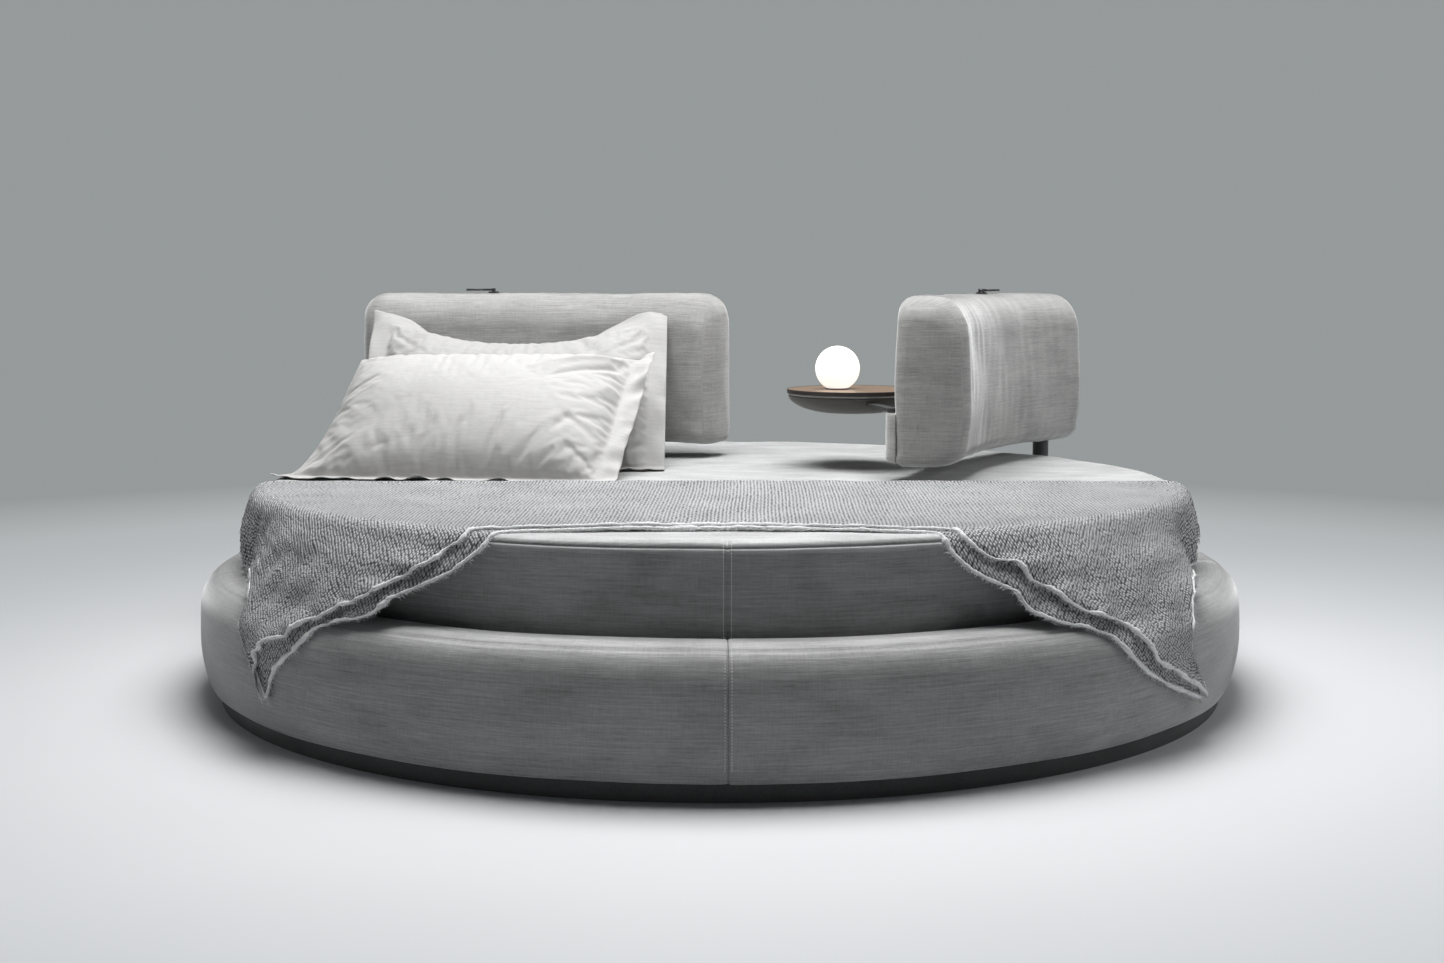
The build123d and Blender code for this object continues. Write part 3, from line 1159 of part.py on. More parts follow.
def make_tray_piping():
    """Round piping between the band and the upholstered dish."""
    with BuildPart() as piping:
        with Locations((TRAY_CENTRE_X, TRAY_CENTRE_Y, (BAND_LIP_BOTTOM + TRAY_PAD_TOP) / 2)):
            Torus(TRAY_RADIUS - TRAY_PAD_INSET - TRAY_PIPING / 2, TRAY_PIPING / 2)
    save(piping.part, "tray_piping")


def lamp_plane(height):
    """Level plane on the lamp's axis."""
    return Plane(origin=(LAMP_X, LAMP_Y, height))


def make_lamp():
    """Table lamp: weighted base with a spigot, light source and a globe that is open below."""
    flange_top = TRAY_TOP + LAMP_BASE_HEIGHT
    with BuildPart() as base:
        with BuildSketch(lamp_plane(TRAY_TOP)):
            Circle(LAMP_BASE_DIAMETER / 2)
        extrude(amount=LAMP_BASE_HEIGHT)
        with BuildSketch(lamp_plane(flange_top)):
            Circle(LAMP_SPIGOT_DIAMETER / 2)
        extrude(amount=LAMP_SPIGOT_HEIGHT)
    save(base.part, "lamp_base")
    with BuildPart() as led:
        with BuildSketch(lamp_plane(flange_top + LAMP_SPIGOT_HEIGHT)):
            Circle(LED_DIAMETER / 2)
        extrude(amount=LED_HEIGHT)
    save(led.part, "lamp_led")
    with BuildPart() as globe:
        with Locations((LAMP_X, LAMP_Y, GLOBE_Z)):
            Sphere(GLOBE_RADIUS)
            Sphere(GLOBE_RADIUS - GLOBE_WALL, mode=Mode.SUBTRACT)
        split(bisect_by=Plane.XY.offset(flange_top), keep=Keep.TOP)
    save(globe.part, "lamp_globe")


def make_pillow(name, middle, foot, height, half_thickness, lean, sag):
    """Leaning pillow: crowned body with drawn-in ends, and a flat flange that lies out at the foot."""
    tilt = math.radians(lean)
    seat = MATTRESS_TOP + PILLOW_SEAT_GAP
    flat = Plane(
        origin=(middle, foot, seat + PILLOW_FLANGE_GAUGE / 2),
        x_dir=(1, 0, 0),
        z_dir=(0, -math.sin(tilt), math.cos(tilt)),
    )
    half, edge = PILLOW_WIDTH / 2, PILLOW_WIDTH / 2 + PILLOW_FLANGE
    crest = height + PILLOW_FLANGE
    shares = zip(PILLOW_STATION_SHARES, PILLOW_THICK_SHARES, PILLOW_SAG_SHARES)
    with BuildPart() as pillow:
        for place_share, thick_share, sag_share in shares:
            start = flat.origin + flat.x_dir * (half * place_share)
            top, crown = height - sag * sag_share, half_thickness * thick_share
            with BuildSketch(Plane(origin=start, x_dir=flat.y_dir, z_dir=flat.x_dir)):
                with BuildLine():
                    ThreePointArc((0, 0), (top / 2, crown), (top, 0))
                    ThreePointArc((top, 0), (top / 2, -crown), (0, 0))
                make_face()
        loft()
        with BuildSketch(flat):
            with BuildLine():
                Polyline((-edge, crest), (-edge, 0), (edge, 0), (edge, crest))
                ThreePointArc((edge, crest), (0, crest - sag), (-edge, crest))
            make_face()
        extrude(amount=PILLOW_FLANGE_GAUGE / 2, both=True)
        with BuildSketch(Plane.XY.offset(seat)):
            with Locations((middle, foot - PILLOW_FLANGE / 2)):
                Rectangle(edge * 2, PILLOW_FLANGE)
        extrude(amount=PILLOW_FLANGE_GAUGE)
    save(pillow.part, name)


def throw_edge_point(bend, turn):
    """Point of the throw's section where it bends over the mattress edge."""
    return THROW_EDGE_R + bend * math.cos(turn), THROW_EDGE_Z + bend * math.sin(turn)


def throw_radius(height):
    """Inside radius of the hanging cloth at a height: straight down to the kink, then along the ring."""
    if height >= THROW_KINK_Z:
        share = (THROW_BEND_Z - height) / (THROW_BEND_Z - THROW_KINK_Z)
        return THROW_BEND_R + (THROW_KINK_R - THROW_BEND_R) * share
    return THROW_HANG_R


def throw_point(side, radius, bearing):
    """Plan point at a bearing counted from the foot of the bed towards one side."""
    turn = math.radians(bearing)
    return side * radius * math.sin(turn), -radius * math.cos(turn)


def throw_ring(side, height, depth):
    """Level section of the hanging cloth, waved in and out by its folds."""
    inside = throw_radius(height)
    step = (THROW_END_BEARING - THROW_START_BEARING) / (THROW_FOLDS * 2)
    edges = []
    for radius in (inside, inside + THROW_ACROSS):
        for fold in range(THROW_FOLDS * 2):
            bearing = THROW_START_BEARING + fold * step
            start = (*throw_point(side, radius + depth / 2, bearing), height)
            middle = (*throw_point(side, radius + depth * (fold % 2), bearing + step / 2), height)
            end = (*throw_point(side, radius + depth / 2, bearing + step), height)
            edges.append(ThreePointArc(start, middle, end))
    for bearing in (THROW_START_BEARING, THROW_END_BEARING):
        near = (*throw_point(side, inside + depth / 2, bearing), height)
        far = (*throw_point(side, inside + THROW_ACROSS + depth / 2, bearing), height)
        edges.append(Line(near, far))
    return Face(Wire(edges))


def throw_edge(side):
    """Outline of one hanging end, seen square to the bed's side, as an upright plane and its points."""
    turn = math.radians(THROW_VIEW_BEARING)
    plane = Plane(
        origin=(0, 0, 0),
        x_dir=(math.cos(turn), side * math.sin(turn), 0),
        z_dir=(side * math.sin(turn), -math.cos(turn), 0),
    )
    points = []
    for bearing, fall_share in THROW_EDGE_SHARES[side]:
        height = THROW_BEND_Z - fall_share * (THROW_BEND_Z - THROW_HEM[side])
        radius = throw_radius(min(height, THROW_BEND_Z)) + THROW_ACROSS / 2
        points.append((side * radius * math.sin(math.radians(bearing - THROW_VIEW_BEARING)), height))
    return plane, points


def throw_end(side):
    """One end of the throw: rolled over the mattress edge, folded down the ring, cut to its hem."""
    inner = THROW_BEND
    outer = THROW_BEND + THROW_THICKNESS
    middle = (THROW_TURN + math.pi / 2) / 2
    start = THROW_EDGE_R - THROW_OVERLAP
    plane, points = throw_edge(side)
    rings = [
        throw_ring(side, THROW_BEND_Z, 0),
        throw_ring(side, THROW_KINK_Z, THROW_FOLD_DEPTH / 2),
        throw_ring(side, THROW_HEM[side] - OVERRUN, THROW_FOLD_DEPTH),
    ]
    with BuildPart() as end:
        with BuildSketch(radial_plane(-90)):
            with BuildLine():
                for bend in (inner, outer):
                    Line((start, THROW_EDGE_Z + bend), (THROW_EDGE_R, THROW_EDGE_Z + bend))
                    ThreePointArc(
                        (THROW_EDGE_R, THROW_EDGE_Z + bend),
                        throw_edge_point(bend, middle),
                        throw_edge_point(bend, THROW_TURN),
                    )
                Line((start, THROW_EDGE_Z + inner), (start, THROW_EDGE_Z + outer))
                Polyline(
                    (THROW_BEND_R, THROW_BEND_Z),
                    (THROW_BEND_R + THROW_ACROSS, THROW_BEND_Z),
                    throw_edge_point(outer, THROW_TURN),
                )
            make_face()
        revolve(axis=Axis.Z, revolution_arc=side * THROW_END_BEARING)
        loft(sections=rings, ruled=True)
        with BuildSketch(plane):
            with BuildLine():
                Polyline(*points, close=True)
            make_face()
        extrude(amount=RING_RADIUS + LEDGE_HEIGHT, mode=Mode.INTERSECT)
    return end.part


def make_throw():
    """Folded throw: flat across the mattress, with a hanging end on each side."""
    ends = [throw_end(side) for side in (LEFT, RIGHT)]
    with BuildPart() as throw:
        with BuildSketch(Plane.XY.offset(MATTRESS_TOP + THROW_SEAT_GAP)):
            Circle(THROW_EDGE_R)
            with BuildLine():
                Polyline(
                    (-MATTRESS_RADIUS, THROW_REAR_Y),
                    (-MATTRESS_RADIUS, THROW_FRONT_LEFT_Y),
                    (MATTRESS_RADIUS, THROW_FRONT_RIGHT_Y),
                    (MATTRESS_RADIUS, THROW_REAR_Y),
                    close=True,
                )
            make_face(mode=Mode.INTERSECT)
        extrude(amount=THROW_THICKNESS)
        for end in ends:
            add(end)
    save(throw.part, "throw")


os.makedirs("parts", exist_ok=True)
for half in (LEFT, RIGHT):
    make_plinth(half)
    make_frame(half)
    make_ring_cover(half)
    make_beam(half)
    make_rail(half)
    make_slats(half)
    make_socket(half)
    make_bushes(half)
    make_escutcheon(half)
    make_post(half)
    make_sleeve(half)
    make_panel(half)
    make_rest_bolts(half)
    make_cushion(half)
    make_light_bracket(half)
    make_light_base(half)
    make_light_turret(half)
    make_light_head(half)
    make_light_lens(half)
make_joining_bolts()
make_feet()
make_legs()
make_beam_brackets()
make_socket_bolts()
make_mattress()
make_console_bracket()
make_console_pad()
make_tray_arm()
make_tray_board()
make_tray_band()
make_tray_pad()
make_tray_piping()
make_lamp()
make_pillow(
    "pillow_rear",
    REAR_PILLOW_X,
    REAR_PILLOW_FOOT_Y,
    REAR_PILLOW_HEIGHT,
    REAR_PILLOW_HALF_THICKNESS,
    REAR_PILLOW_LEAN,
    REAR_PILLOW_SAG,
)
make_pillow(
    "pillow_front",
    FRONT_PILLOW_X,
    FRONT_PILLOW_FOOT_Y,
    FRONT_PILLOW_HEIGHT,
    FRONT_PILLOW_HALF_THICKNESS,
    FRONT_PILLOW_LEAN,
    FRONT_PILLOW_SAG,
)
make_throw()
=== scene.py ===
# %% [markdown]
# # A round bed with two swivelling backrests
# The bed is a padded ring with a round mattress sunk into it. Two curved backrests turn on posts,
# one of them carries a small tray with a lamp, and a folded throw and two pillows lie on top.
# The CAD model comes in first and gives the sizes. What follows is soft surface and finish.

# %% Load the frame
import json
import math

import bmesh
import bpy
import numpy as np
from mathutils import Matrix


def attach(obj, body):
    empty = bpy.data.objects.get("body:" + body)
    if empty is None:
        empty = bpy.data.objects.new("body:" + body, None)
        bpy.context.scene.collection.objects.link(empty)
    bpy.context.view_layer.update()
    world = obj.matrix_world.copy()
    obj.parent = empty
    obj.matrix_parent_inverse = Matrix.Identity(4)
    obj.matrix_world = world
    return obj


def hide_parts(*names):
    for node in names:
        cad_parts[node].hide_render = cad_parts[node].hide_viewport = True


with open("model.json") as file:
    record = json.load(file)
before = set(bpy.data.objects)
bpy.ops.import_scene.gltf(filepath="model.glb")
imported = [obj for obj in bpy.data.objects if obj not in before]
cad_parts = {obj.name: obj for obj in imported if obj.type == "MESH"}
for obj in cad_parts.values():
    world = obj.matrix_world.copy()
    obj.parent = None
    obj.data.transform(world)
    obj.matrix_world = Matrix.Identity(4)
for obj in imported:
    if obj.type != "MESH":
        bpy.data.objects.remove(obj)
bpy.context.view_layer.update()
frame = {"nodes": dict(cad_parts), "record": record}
NODES = frame["nodes"]
SIDES = {"left": -1, "right": 1}

# %% [markdown]
# ## Camera
# The viewer stands a little above the bed and looks slightly down. A camera has no size, so its
# place was worked out from the ellipses of the ring and the mattress, and is simply written here.

# %% Camera
CAMERA_PLACE = (0.0045, -4.875, 1.02)
CAMERA_FALL = 6.15
camera_data = bpy.data.cameras.new("camera")
camera_data.sensor_width = 36
camera_data.lens = 47.49
camera = bpy.data.objects.new("camera", camera_data)
camera.location = CAMERA_PLACE
camera.rotation_euler = (math.radians(90 - CAMERA_FALL), 0, 0)
bpy.context.scene.collection.objects.link(camera)
bpy.context.scene.camera = camera

# %% [markdown]
# ## Surfaces from numbers
# Every new piece is a grid of points worked out as whole arrays. Three small tools turn lines into
# evenly spaced ones, add gentle unevenness, and make a mesh from a grid.


# %% Helpers for lines and unevenness
def rounding(start, corner, end, count=9):
    """Points of a rounding: a curve that leaves start towards the corner and arrives at end from it.
    It is the quarter of an ellipse, start + end blended by cosine and sine about the far corner."""
    start, corner, end = (np.array(p, float) for p in (start, corner, end))
    turn = np.linspace(0, math.pi / 2, count)[:, None]
    centre = start + end - corner
    return centre + (start - centre) * np.cos(turn) + (end - centre) * np.sin(turn)


def ways(line):
    """How far along a line each of its points lies."""
    return np.concatenate([[0], np.cumsum(np.linalg.norm(np.diff(line, axis=0), axis=1))])


def read_at(places, way, values):
    """Rows of values that belong to ways along a line, read at other places along it."""
    return np.stack([np.interp(places, way, column) for column in values.T], -1)


def even(line, spacing):
    """The same line with points a constant way apart, measured along it."""
    way = ways(line)
    places = np.linspace(0, way[-1], max(int(round(way[-1] / spacing)), 2) + 1)
    return read_at(places, way, line), places


def smooth_step(low, high, value):
    """0 below low, 1 above high, and 3t² - 2t³ between them."""
    t = np.clip((np.asarray(value, float) - low) / (high - low), 0, 1)
    return t * t * (3 - 2 * t)


def waves(u, v, seed, longest, count=12):
    """Soft unevenness about zero: a sum of cosines in seeded directions, lengths and phases."""
    rng = np.random.default_rng(seed)
    turns, phases = rng.uniform(0, 2 * math.pi, (2, count))
    lengths = longest * rng.uniform(0.35, 1, count)
    total = 0
    for turn, phase, length in zip(turns, phases, lengths):
        total = total + np.cos((u * math.cos(turn) + v * math.sin(turn)) * 2 * math.pi / length + phase)
    return total / math.sqrt(count)


def crease(u, v, start, end, width, depth):
    """A soft valley along a line from start to end: a bell across the line, faded at both ends.
    A negative depth gives a ridge."""
    (u0, v0), (u1, v1) = start, end
    length = math.hypot(u1 - u0, v1 - v0)
    along = ((u - u0) * (u1 - u0) + (v - v0) * (v1 - v0)) / length
    across = ((v - v0) * (u1 - u0) - (u - u0) * (v1 - v0)) / length
    fade = smooth_step(-0.15, 0.25, along / length) * (1 - smooth_step(0.7, 1.15, along / length))
    return -depth * fade * np.exp(-((across / width) ** 2))


# %% Helpers for meshes
def add_piece(name, points, faces, uv=None):
    """A mesh object from points, faces and one UV pair for each face corner."""
    mesh = bpy.data.meshes.new(name)
    mesh.from_pydata(np.asarray(points, float).reshape(-1, 3), [], faces)
    if uv is not None:
        mesh.uv_layers.new(name="surface").data.foreach_set("uv", np.asarray(uv, np.float32).ravel())
    mesh.shade_smooth()
    piece = bpy.data.objects.new(name, mesh)
    bpy.context.scene.collection.objects.link(piece)
    return piece


def grid_faces(rows, columns, loop_rows=False, loop_columns=False, first=0):
    """Corner numbers of the quads of a grid of points, and their grid places for the UV map."""
    r, c = np.meshgrid(
        np.arange(rows if loop_rows else rows - 1),
        np.arange(columns if loop_columns else columns - 1),
        indexing="ij",
    )
    places = np.stack([np.stack([r + a, c + b], -1) for a, b in ((0, 0), (1, 0), (1, 1), (0, 1))], 2)
    places = places.reshape(-1, 4, 2)
    return first + (places[..., 0] % rows) * columns + places[..., 1] % columns, places


def skin(name, points, uv, loop_rows=False, loop_columns=False):
    """A grid of points becomes a piece. The UV grid has one more row or column where it loops."""
    faces, places = grid_faces(*points.shape[:2], loop_rows, loop_columns)
    return add_piece(name, points, faces, uv[places[..., 0], places[..., 1]])


def weld(piece, distance):
    """Merges points that fall together, such as a pole, and turns the faces of a closed skin outwards."""
    form = bmesh.new()
    form.from_mesh(piece.data)
    bmesh.ops.remove_doubles(form, verts=form.verts, dist=distance)
    bmesh.ops.dissolve_degenerate(form, edges=form.edges, dist=1e-7)
    bmesh.ops.recalc_face_normals(form, faces=form.faces)
    form.to_mesh(piece.data)
    form.free()
    piece.data.shade_smooth()
    return piece


def face_outwards(piece, close=False):
    """Turns all faces outwards, with the openings of the skin closed first where asked."""
    form = bmesh.new()
    form.from_mesh(piece.data)
    if close:
        bmesh.ops.holes_fill(form, edges=[e for e in form.edges if e.is_boundary], sides=0)
    bmesh.ops.recalc_face_normals(form, faces=form.faces)
    form.to_mesh(piece.data)
    form.free()
    piece.data.shade_smooth()
    return piece


def tube_faces(starts, rings, sides, order=1):
    """Faces of tubes that are rings of points each, from the number of every tube's first point, with
    both ends closed. The order turns the end faces over."""
    quads, _ = grid_faces(rings, sides, loop_columns=True)
    faces = (quads[None] + starts[:, None, None]).reshape(-1, 4).tolist()
    for end, way_round in ((0, order), (rings - 1, -order)):
        cap = np.arange(sides)[::way_round] + end * sides
        faces += (cap[None] + starts[:, None]).tolist()
    return faces


def thicken(piece, gauge, offset=-1.0):
    """Gives an open skin the gauge of its cloth."""
    wall = piece.modifiers.new("gauge", "SOLIDIFY")
    wall.thickness, wall.offset = gauge, offset
    return piece


# %% [markdown]
# ## Finishes
# The bed is covered in a grey chenille: a cut pile that lies in long, fine, slightly broken lines
# along the weft, with soft clouds where the pile was brushed the other way. A noise stretched along
# the cloth gives the lines, a broad one the clouds, and a little sheen the bloom at grazing angles.


# %% Helpers for finishes
def new_finish(name, colour, roughness, **more):
    """A material whose shader holds what is the same all over. Returns it with its tree and shader."""
    material = bpy.data.materials.new(name)
    material.use_nodes = True
    material.diffuse_color = (*colour[:3], 1)
    shader = material.node_tree.nodes["Principled BSDF"]
    shader.inputs["Base Color"].default_value = (*colour[:3], 1)
    shader.inputs["Roughness"].default_value = roughness
    for socket, value in more.items():
        shader.inputs[socket.replace("_", " ")].default_value = value
    return material, material.node_tree, shader


def stretched(tree, source, scale, turn=0.0):
    """Coordinates of the surface ("UV", in metres) or of the room ("Object"), stretched by scale."""
    coordinates = tree.nodes.new("ShaderNodeTexCoord")
    mapping = tree.nodes.new("ShaderNodeMapping")
    mapping.inputs["Scale"].default_value = scale
    mapping.inputs["Rotation"].default_value = (0, 0, turn)
    tree.links.new(coordinates.outputs[source], mapping.inputs["Vector"])
    return mapping.outputs["Vector"]


def noise(tree, vector, scale, detail=3.0, roughness=0.55, distortion=0.0):
    """A cloudy value about one half."""
    node = tree.nodes.new("ShaderNodeTexNoise")
    node.inputs["Scale"].default_value = scale
    node.inputs["Detail"].default_value = detail
    node.inputs["Roughness"].default_value = roughness
    node.inputs["Distortion"].default_value = distortion
    tree.links.new(vector, node.inputs["Vector"])
    return node.outputs["Fac"]


def calc(tree, operation, first, second, third=None):
    """One sum on values, each a socket or a number."""
    node = tree.nodes.new("ShaderNodeMath")
    node.operation = operation
    for socket, value in zip(node.inputs, (first, second, third)):
        if isinstance(value, bpy.types.NodeSocket):
            tree.links.new(value, socket)
        elif value is not None:
            socket.default_value = value
    return node.outputs[0]


def spread(tree, value, low, high, to_low=0.0, to_high=1.0):
    """Stretches the range low to high of a value over another range."""
    node = tree.nodes.new("ShaderNodeMapRange")
    for name, number in (("From Min", low), ("From Max", high), ("To Min", to_low), ("To Max", to_high)):
        node.inputs[name].default_value = number
    tree.links.new(value, node.inputs["Value"])
    return node.outputs["Result"]


def tint(tree, factor, dark, light):
    """A colour between two, each a socket or three numbers."""
    node = tree.nodes.new("ShaderNodeMix")
    node.data_type = "RGBA"
    tree.links.new(factor, node.inputs["Factor"])
    for name, colour in (("A", dark), ("B", light)):
        socket = [s for s in node.inputs if s.name == name and s.type == "RGBA"][0]
        if isinstance(colour, bpy.types.NodeSocket):
            tree.links.new(colour, socket)
        else:
            socket.default_value = (*colour, 1)
    return [s for s in node.outputs if s.type == "RGBA"][0]


def relief(tree, shader, height, distance, strength=1.0):
    """Lets a value raise the surface by up to a distance in metres."""
    node = tree.nodes.new("ShaderNodeBump")
    node.inputs["Distance"].default_value = distance
    node.inputs["Strength"].default_value = strength
    tree.links.new(height, node.inputs["Height"])
    tree.links.new(node.outputs["Normal"], shader.inputs["Normal"])


def mottle(tree, shader, value, ends, dark, light):
    """Colours a surface between two tones, by where a value lies between two ends."""
    tree.links.new(tint(tree, spread(tree, value, *ends), dark, light), shader.inputs["Base Color"])


# %% Chenille
CHENILLE = (0.325, 0.324, 0.316)


def chenille(name, colour=CHENILLE, lines=1.0, clouds=1.0, painted_top_light=1.0, nap=0.9):
    """The bed's cloth. U runs along the weft and V across it, both in metres. Faces that look up get painted
    light from above: their colour is raised by up to the given gain, in step with the height of the normal."""
    material, tree, shader = new_finish(name, colour, 0.9, Sheen_Weight=nap, Sheen_Roughness=0.35)
    shader.inputs["Specular IOR Level"].default_value = 0.18
    weft = noise(tree, stretched(tree, "UV", (7, 210, 1)), 1.0, 3.0, 0.6)
    yarn = noise(tree, stretched(tree, "UV", (38, 640, 1)), 1.0, 2.0, 0.6)
    cloud = noise(tree, stretched(tree, "UV", (3.2, 7.5, 1)), 1.6, 3.0, 0.55, 0.4)
    warp = noise(tree, stretched(tree, "UV", (260, 26, 1)), 1.0, 2.0)
    streak = calc(tree, "MULTIPLY_ADD", yarn, 0.45, calc(tree, "MULTIPLY", weft, 0.55))
    pile = calc(tree, "MULTIPLY_ADD", warp, 0.18, calc(tree, "MULTIPLY", streak, 0.82))
    tone = calc(tree, "MULTIPLY_ADD", cloud, 0.36 * clouds, calc(tree, "MULTIPLY", pile, lines))
    middle = 0.5 * (lines + 0.36 * clouds)
    dark, light = (tuple(c * k for c in colour) for k in (0.64, 1.34))
    shade = tint(tree, spread(tree, tone, middle - 0.2, middle + 0.2), dark, light)
    # Painted light from above: the colour is scaled up where the normal points up.
    if painted_top_light != 1.0:
        facing = tree.nodes.new("ShaderNodeNewGeometry")
        split = tree.nodes.new("ShaderNodeSeparateXYZ")
        tree.links.new(facing.outputs["Normal"], split.inputs[0])
        painted_top_light_scale = tree.nodes.new("ShaderNodeVectorMath")
        painted_top_light_scale.operation = "SCALE"
        tree.links.new(shade, painted_top_light_scale.inputs[0])
        tree.links.new(spread(tree, split.outputs["Z"], 0.55, 0.99, 1.0, painted_top_light), painted_top_light_scale.inputs["Scale"])
        shade = painted_top_light_scale.outputs[0]
    tree.links.new(shade, shader.inputs["Base Color"])
    relief(tree, shader, streak, 0.0016, 0.55)
    return material


BED_CLOTH = chenille("grey_chenille")
# The ring's and the mattress's copies are darker greys with painted light: their walls darker as painted
# shade, their level tops lighter as painted top light.
RING_CLOTH = chenille("grey_chenille_ring_painted_light", (0.275, 0.276, 0.274), 1.1, 1.0, 1.75)
MATTRESS_CLOTH = chenille("grey_chenille_mattress_painted_light", (0.26, 0.262, 0.262), 1.0, 1.3, 1.75, 0.2)
# The dish's copy is far darker: painted shade under the tray.
DISH_CLOTH_PAINTED_SHADE = chenille("grey_chenille_dish_painted_shade", (0.10, 0.097, 0.088), 0.8, 1.0, 1.0, 0.5)

# %% [markdown]
# ## The padded ring
# The platform's cover is sewn from two halves: a side panel and a ledge panel, joined by a seam
# that runs round on the shoulder, and butted front and rear with a double row of topstitching.
# The section is drawn once as a line of radius and height, then carried round the bed. The cloth
# sinks a little into every seam, and on the ledge it gathers in shallow radial pleats.

# %% Section of the ring
BED_TURN = math.radians(0.75)
RING_SECTION = np.concatenate(
    [
        np.linspace((1.2565, 0.0403), (1.269, 0.0403), 4),
        rounding((1.269, 0.0403), (1.276, 0.0403), (1.276, 0.047), 5)[1:],
        rounding((1.276, 0.047), (1.300, 0.085), (1.300, 0.160), 12)[1:],
        rounding((1.300, 0.160), (1.300, 0.205), (1.2965, 0.240), 8)[1:],
        rounding((1.2965, 0.240), (1.290, 0.312), (1.222, 0.312), 16)[1:],
        np.linspace((1.222, 0.312), (1.190, 0.312), 5)[1:],
        rounding((1.190, 0.312), (1.170, 0.312), (1.170, 0.292), 8)[1:],
        np.linspace((1.170, 0.292), (1.170, 0.252), 5)[1:],
    ]
)
ring_line, ring_way = even(RING_SECTION, 0.0055)
slope = np.gradient(ring_line, axis=0)
ring_out = np.stack([slope[:, 1], -slope[:, 0]], 1) / np.linalg.norm(slope, axis=1)[:, None]
print("ring section", len(ring_line), "points", round(ring_way[-1], 3), "m round")


def way_of(line, way, place):
    """How far along a section its point nearest to a place lies."""
    return way[np.argmin(np.linalg.norm(line - np.array(place), axis=1))]


shoulder_seam = way_of(ring_line, ring_way, (1.2635, 0.3045))
ledge_start = way_of(ring_line, ring_way, (1.250, 0.308))
PLEATS = np.random.default_rng(5)
pleat_turns = np.radians([176, 186, 197, 203, 208, 214, 331, 337, 344, 352, 2, 12, 30, 47, 75, 104, 133, 152])
pleat_depths = PLEATS.uniform(0.0012, 0.0034, len(pleat_turns))
pleat_widths = PLEATS.uniform(0.007, 0.015, len(pleat_turns))


def ring_relief(turn, way, from_seam):
    """How far the ring's cloth stands out: sunk at the seams, gathered beside them, pleated on the
    ledge and a little uneven all round. Bells make the seams and pleats, cosines the rest."""
    level = 0 * (turn + way) - 0.0015 * np.exp(-((from_seam / 0.0026) ** 2))
    level -= 0.0012 * np.exp(-((from_seam / 0.012) ** 2))
    level -= 0.0022 * np.exp(-(((way - shoulder_seam) / 0.0032) ** 2))
    gathered = np.exp(-from_seam / 0.028) * (1 - np.exp(-from_seam / 0.006))
    level += 0.0009 * gathered * waves(turn * 0.12, way, 3, 0.03)
    level += 0.0011 * waves(turn * 1.3, way * 1.6, 4, 0.75)
    on_ledge = smooth_step(shoulder_seam - 0.02, ledge_start + 0.02, way) * (1 - smooth_step(0.5, 0.56, way))
    for place, depth, width in zip(pleat_turns, pleat_depths, pleat_widths):
        apart = np.abs((turn - place + math.pi) % (2 * math.pi) - math.pi) * 1.24
        level -= depth * on_ledge * np.exp(-((apart / width) ** 2))
        level += 0.5 * depth * on_ledge * np.exp(-(((apart - width * 1.6) / width) ** 2))
    return level


# %% Two halves of the ring
half_turn = math.pi - 0.0004
near_seam = np.arange(0, 0.05, 0.0022) / 1.3
between_seams = np.linspace(0.05 / 1.3, half_turn - 0.05 / 1.3, 300)
turns = np.concatenate([near_seam, between_seams, half_turn - near_seam[::-1]])
from_seam = np.minimum(turns, half_turn - turns) * 1.3
for side, start in (("right", -math.pi / 2), ("left", math.pi / 2)):
    turn = (start + BED_TURN + 0.0002 + turns)[:, None]
    level = ring_relief(turn, ring_way[None, :], from_seam[:, None])
    radius = ring_line[None, :, 0] + ring_out[None, :, 0] * level
    height = ring_line[None, :, 1] + ring_out[None, :, 1] * level
    points = np.stack([radius * np.cos(turn), radius * np.sin(turn), height + 0 * turn], -1)
    uv = np.stack(np.broadcast_arrays(turn * 1.3, ring_way[None, :]), -1)
    half = skin(f"ring_upholstery_{side}", points, uv)
    thicken(half, 0.0035)
    half.data.materials.append(RING_CLOTH)
    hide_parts(f"ring_cover_{side}")
    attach(half, "bed")
print("ring halves", len(turns), "by", len(ring_line))

# %% [markdown]
# ## Topstitching
# A stitch is a short thread that dives at both ends: a five-sided bead, three faces long, bent to the
# cloth.
# One function lays stitches along any line, so the ring and the mattress share it.


# %% Stitches
THREAD, _, _ = new_finish("stitching_thread", (0.68, 0.68, 0.675), 0.6, Sheen_Weight=0.3)


